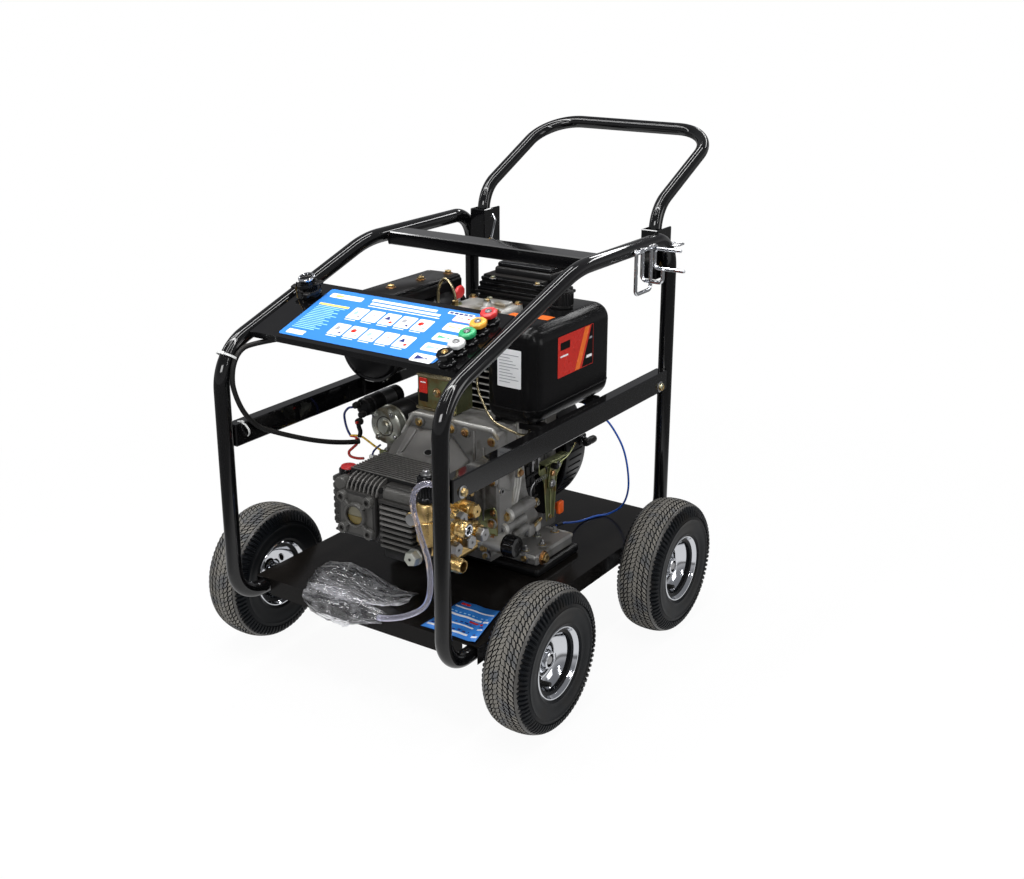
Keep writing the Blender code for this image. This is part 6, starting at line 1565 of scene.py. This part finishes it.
def striped_sheet():
    """A printed card with plain bands, lying on the tray's front right corner."""
    body = Body()
    corners = [(124, -290), (238, -291), (209, -176), (128, -175)]

    def spot(a, b):
        low = Vector(corners[0]).lerp(Vector(corners[1]), a)
        high = Vector(corners[3]).lerp(Vector(corners[2]), a)
        return low.lerp(high, b)

    def panel(a0, a1, b0, b1, finish, lift):
        part = bmesh.new()
        rows = []
        for i in range(9):
            rows.append([])
            for j in range(5):
                a, b = (a0 + (a1 - a0) * i / 8, b0 + (b1 - b0) * j / 4)
                x, y = spot(a, b)
                curl = 1.2 * sin(7 * a + 2 * b) ** 2 + 3 * max(0, a - 0.85) / 0.15
                rows[-1].append(part.verts.new(metres((x, y, TRAY_TOP_Z + 0.6 + curl + lift))))
        for i in range(8):
            for j in range(4):
                part.faces.new((rows[i][j], rows[i + 1][j], rows[i + 1][j + 1], rows[i][j + 1]))
        bmesh.ops.recalc_face_normals(part, faces=part.faces)
        body.add(part, finish)

    panel(0, 1, 0, 1, INK_BLUE, 0)
    for b, depth in ((0.1, 0.05), (0.33, 0.035), (0.56, 0.05), (0.8, 0.035)):
        panel(0.03, 0.97, b, b + depth, INK_WHITE, 0.3)
    for k in range(9):
        a = 0.06 + 0.1 * k
        panel(a, a + 0.055, 0.17 + 0.02 * (k % 2), 0.21 + 0.02 * (k % 2), INK_NAVY, 0.3)
        panel(a, a + 0.045 + 0.02 * (k % 3), 0.41, 0.44, INK_NAVY, 0.3)
        panel(a, a + 0.05, 0.655, 0.68, INK_SKY, 0.3)
    panel(0.62, 0.9, 0.47, 0.52, INK_RED, 0.4)
    panel(0.08, 0.3, 0.9, 0.955, INK_RED, 0.4)
    made = body.show("printed_card", "chassis")
    thick = made.modifiers.new("card", "SOLIDIFY")
    thick.thickness = 0.0003
    thick.offset = -1


def bag():
    """Clear film bag round the hose's end: lofted pleated lobes, gathered towards a flat open end on the right."""
    # pleats, phase, then stations of (x, y, z, half y, half z)
    lobes = [
        (15, 0.9, (-135, -266, 186, 4, 4), (-131, -266, 188, 22, 11), (-120, -264, 191, 37, 18),
         (-100, -263, 193, 44, 22), (-70, -264, 195, 47, 25), (-40, -264, 194, 45, 23), (-12, -266, 192, 39, 19),
         (14, -268, 191, 33, 15), (38, -268, 192, 27, 11), (56, -266, 194, 25, 7.5), (74, -262, 195, 28, 4.5)),
        (11, 2.3, (-108, -318, 180, 4, 4), (-103, -318, 179, 14, 16), (-96, -318, 177, 20, 26),
         (-70, -318, 175, 23, 32), (-42, -319, 174, 23, 31), (-15, -319, 174, 21, 26), (10, -317, 175, 18, 19),
         (34, -314, 176, 14, 13), (56, -311, 177, 10, 9)),
    ]
    body = Body()
    for pleats, phase, *stations in lobes:
        part = bmesh.new()
        rows = []
        steps = 7
        for index in range(len(stations) - 1):
            for step in range(steps + (index == len(stations) - 2)):
                share = step / steps
                x, y, z, half_y, half_z = [a + (b - a) * share for a, b in zip(stations[index], stations[index + 1])]
                along = (index + share) / (len(stations) - 1)
                ring = []
                for angle in circle(FILM_POINTS):
                    wave = (pleats * angle / (2 * pi) + phase + 0.55 * sin(5.2 * along + 2 * angle)) % 1.0
                    ridge = 1 - abs(2 * wave - 1)
                    fold = (0.05 + 0.17 * along) * (ridge ** 1.6 - 0.45) + 0.045 * sin(17 * along + 3 * angle + phase)
                    size = 1 + fold * min(1.0, 6 * along)
                    place = Vector((x + 3.5 * sin(3 * angle + phase), y + half_y * size * cos(angle),
                        z + half_z * size * sin(angle)))
                    place.z = max(place.z, FILM_LOW_Z if place.y > -300 else FILM_EDGE_Z)
                    ring.append(part.verts.new(place))
                rows.append(ring)
        crumple(skin(part, rows, caps=True))
        bmesh.ops.transform(part, matrix=Matrix.Scale(MM, 4), verts=part.verts)
        body.add(part, FILM)
    made = body.show("film_bag", "chassis", ["hose_bag"], 30)


def crumple(part):
    """Creases: the skin stands out along the borders of scattered cells and tilts between them."""
    seeds = KDTree(FILM_CREASES)
    for index in range(FILM_CREASES):
        seeds.insert((random.uniform(-150, 100), random.uniform(-350, -210), random.uniform(130, 240)), index)
    seeds.balance()
    tilt = [Vector((random.uniform(-1, 1), random.uniform(-1, 1), random.uniform(-1, 1))) for _ in range(FILM_CREASES)]
    middle = Vector((-20, -280, 188))
    for vert in part.verts:
        (first, index, near), (_, _, far) = seeds.find_n(vert.co, 2)
        outward = (vert.co - middle).normalized()
        edge = max(0, 1 - (far - near) / 6)
        flat = (vert.co - first).dot(tilt[index]) * 0.13
        vert.co += outward * (2.2 * edge - 1.2 + flat)
        vert.co.z = max(vert.co.z, FILM_LOW_Z if vert.co.y > -300 else FILM_EDGE_Z)


# ---------------------------------------------------------------- the whole scene

def dress():
    """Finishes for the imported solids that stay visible."""
    repaint(PAINT, "left_side_rail", "right_side_rail", "lifting_crossbar", "left_handle_bracket",
        "right_handle_bracket", "control_panel")
    repaint(TRAY, "base_tray")
    repaint(SATIN, "engine_mount_pad")
    repaint(CASTING, "crankcase")
    repaint(OLIVE, "cowl_bracket", "speed_plate")
    repaint(STEEL, "crankshaft", "piston")
    eased(2, 3, "left_side_rail", "right_side_rail", "lifting_crossbar", "engine_mount_pad")
    eased(3, 3, "crankcase")
    eased(2, 2, "cowl_bracket")
    eased(0.8, 2, "speed_plate", "control_panel", "base_tray", "left_handle_bracket", "right_handle_bracket")


camera()
lights()
world()
floor()
dress()
for one_side in (-1, 1):
    hoop(one_side)
handle()
hook()
for one_side in (-1, 1):
    bracket_trim(one_side)
crossbar_trim()
ties()
wheels()
for which, axle_y in WHEEL_YS.items():
    axle(f"{which}_axle", axle_y)
for build in (panel_decal, nozzles, switch, crankcase_trim, governor, barrel, pipes, muffler, air_filter, tank,
        starter, leads, cowl, shroud, small_parts, bell, pump, pump_head, cords, striped_sheet, bag):
    build()

bpy.context.scene.view_settings.view_transform = "Standard"
bpy.context.view_layer.update()
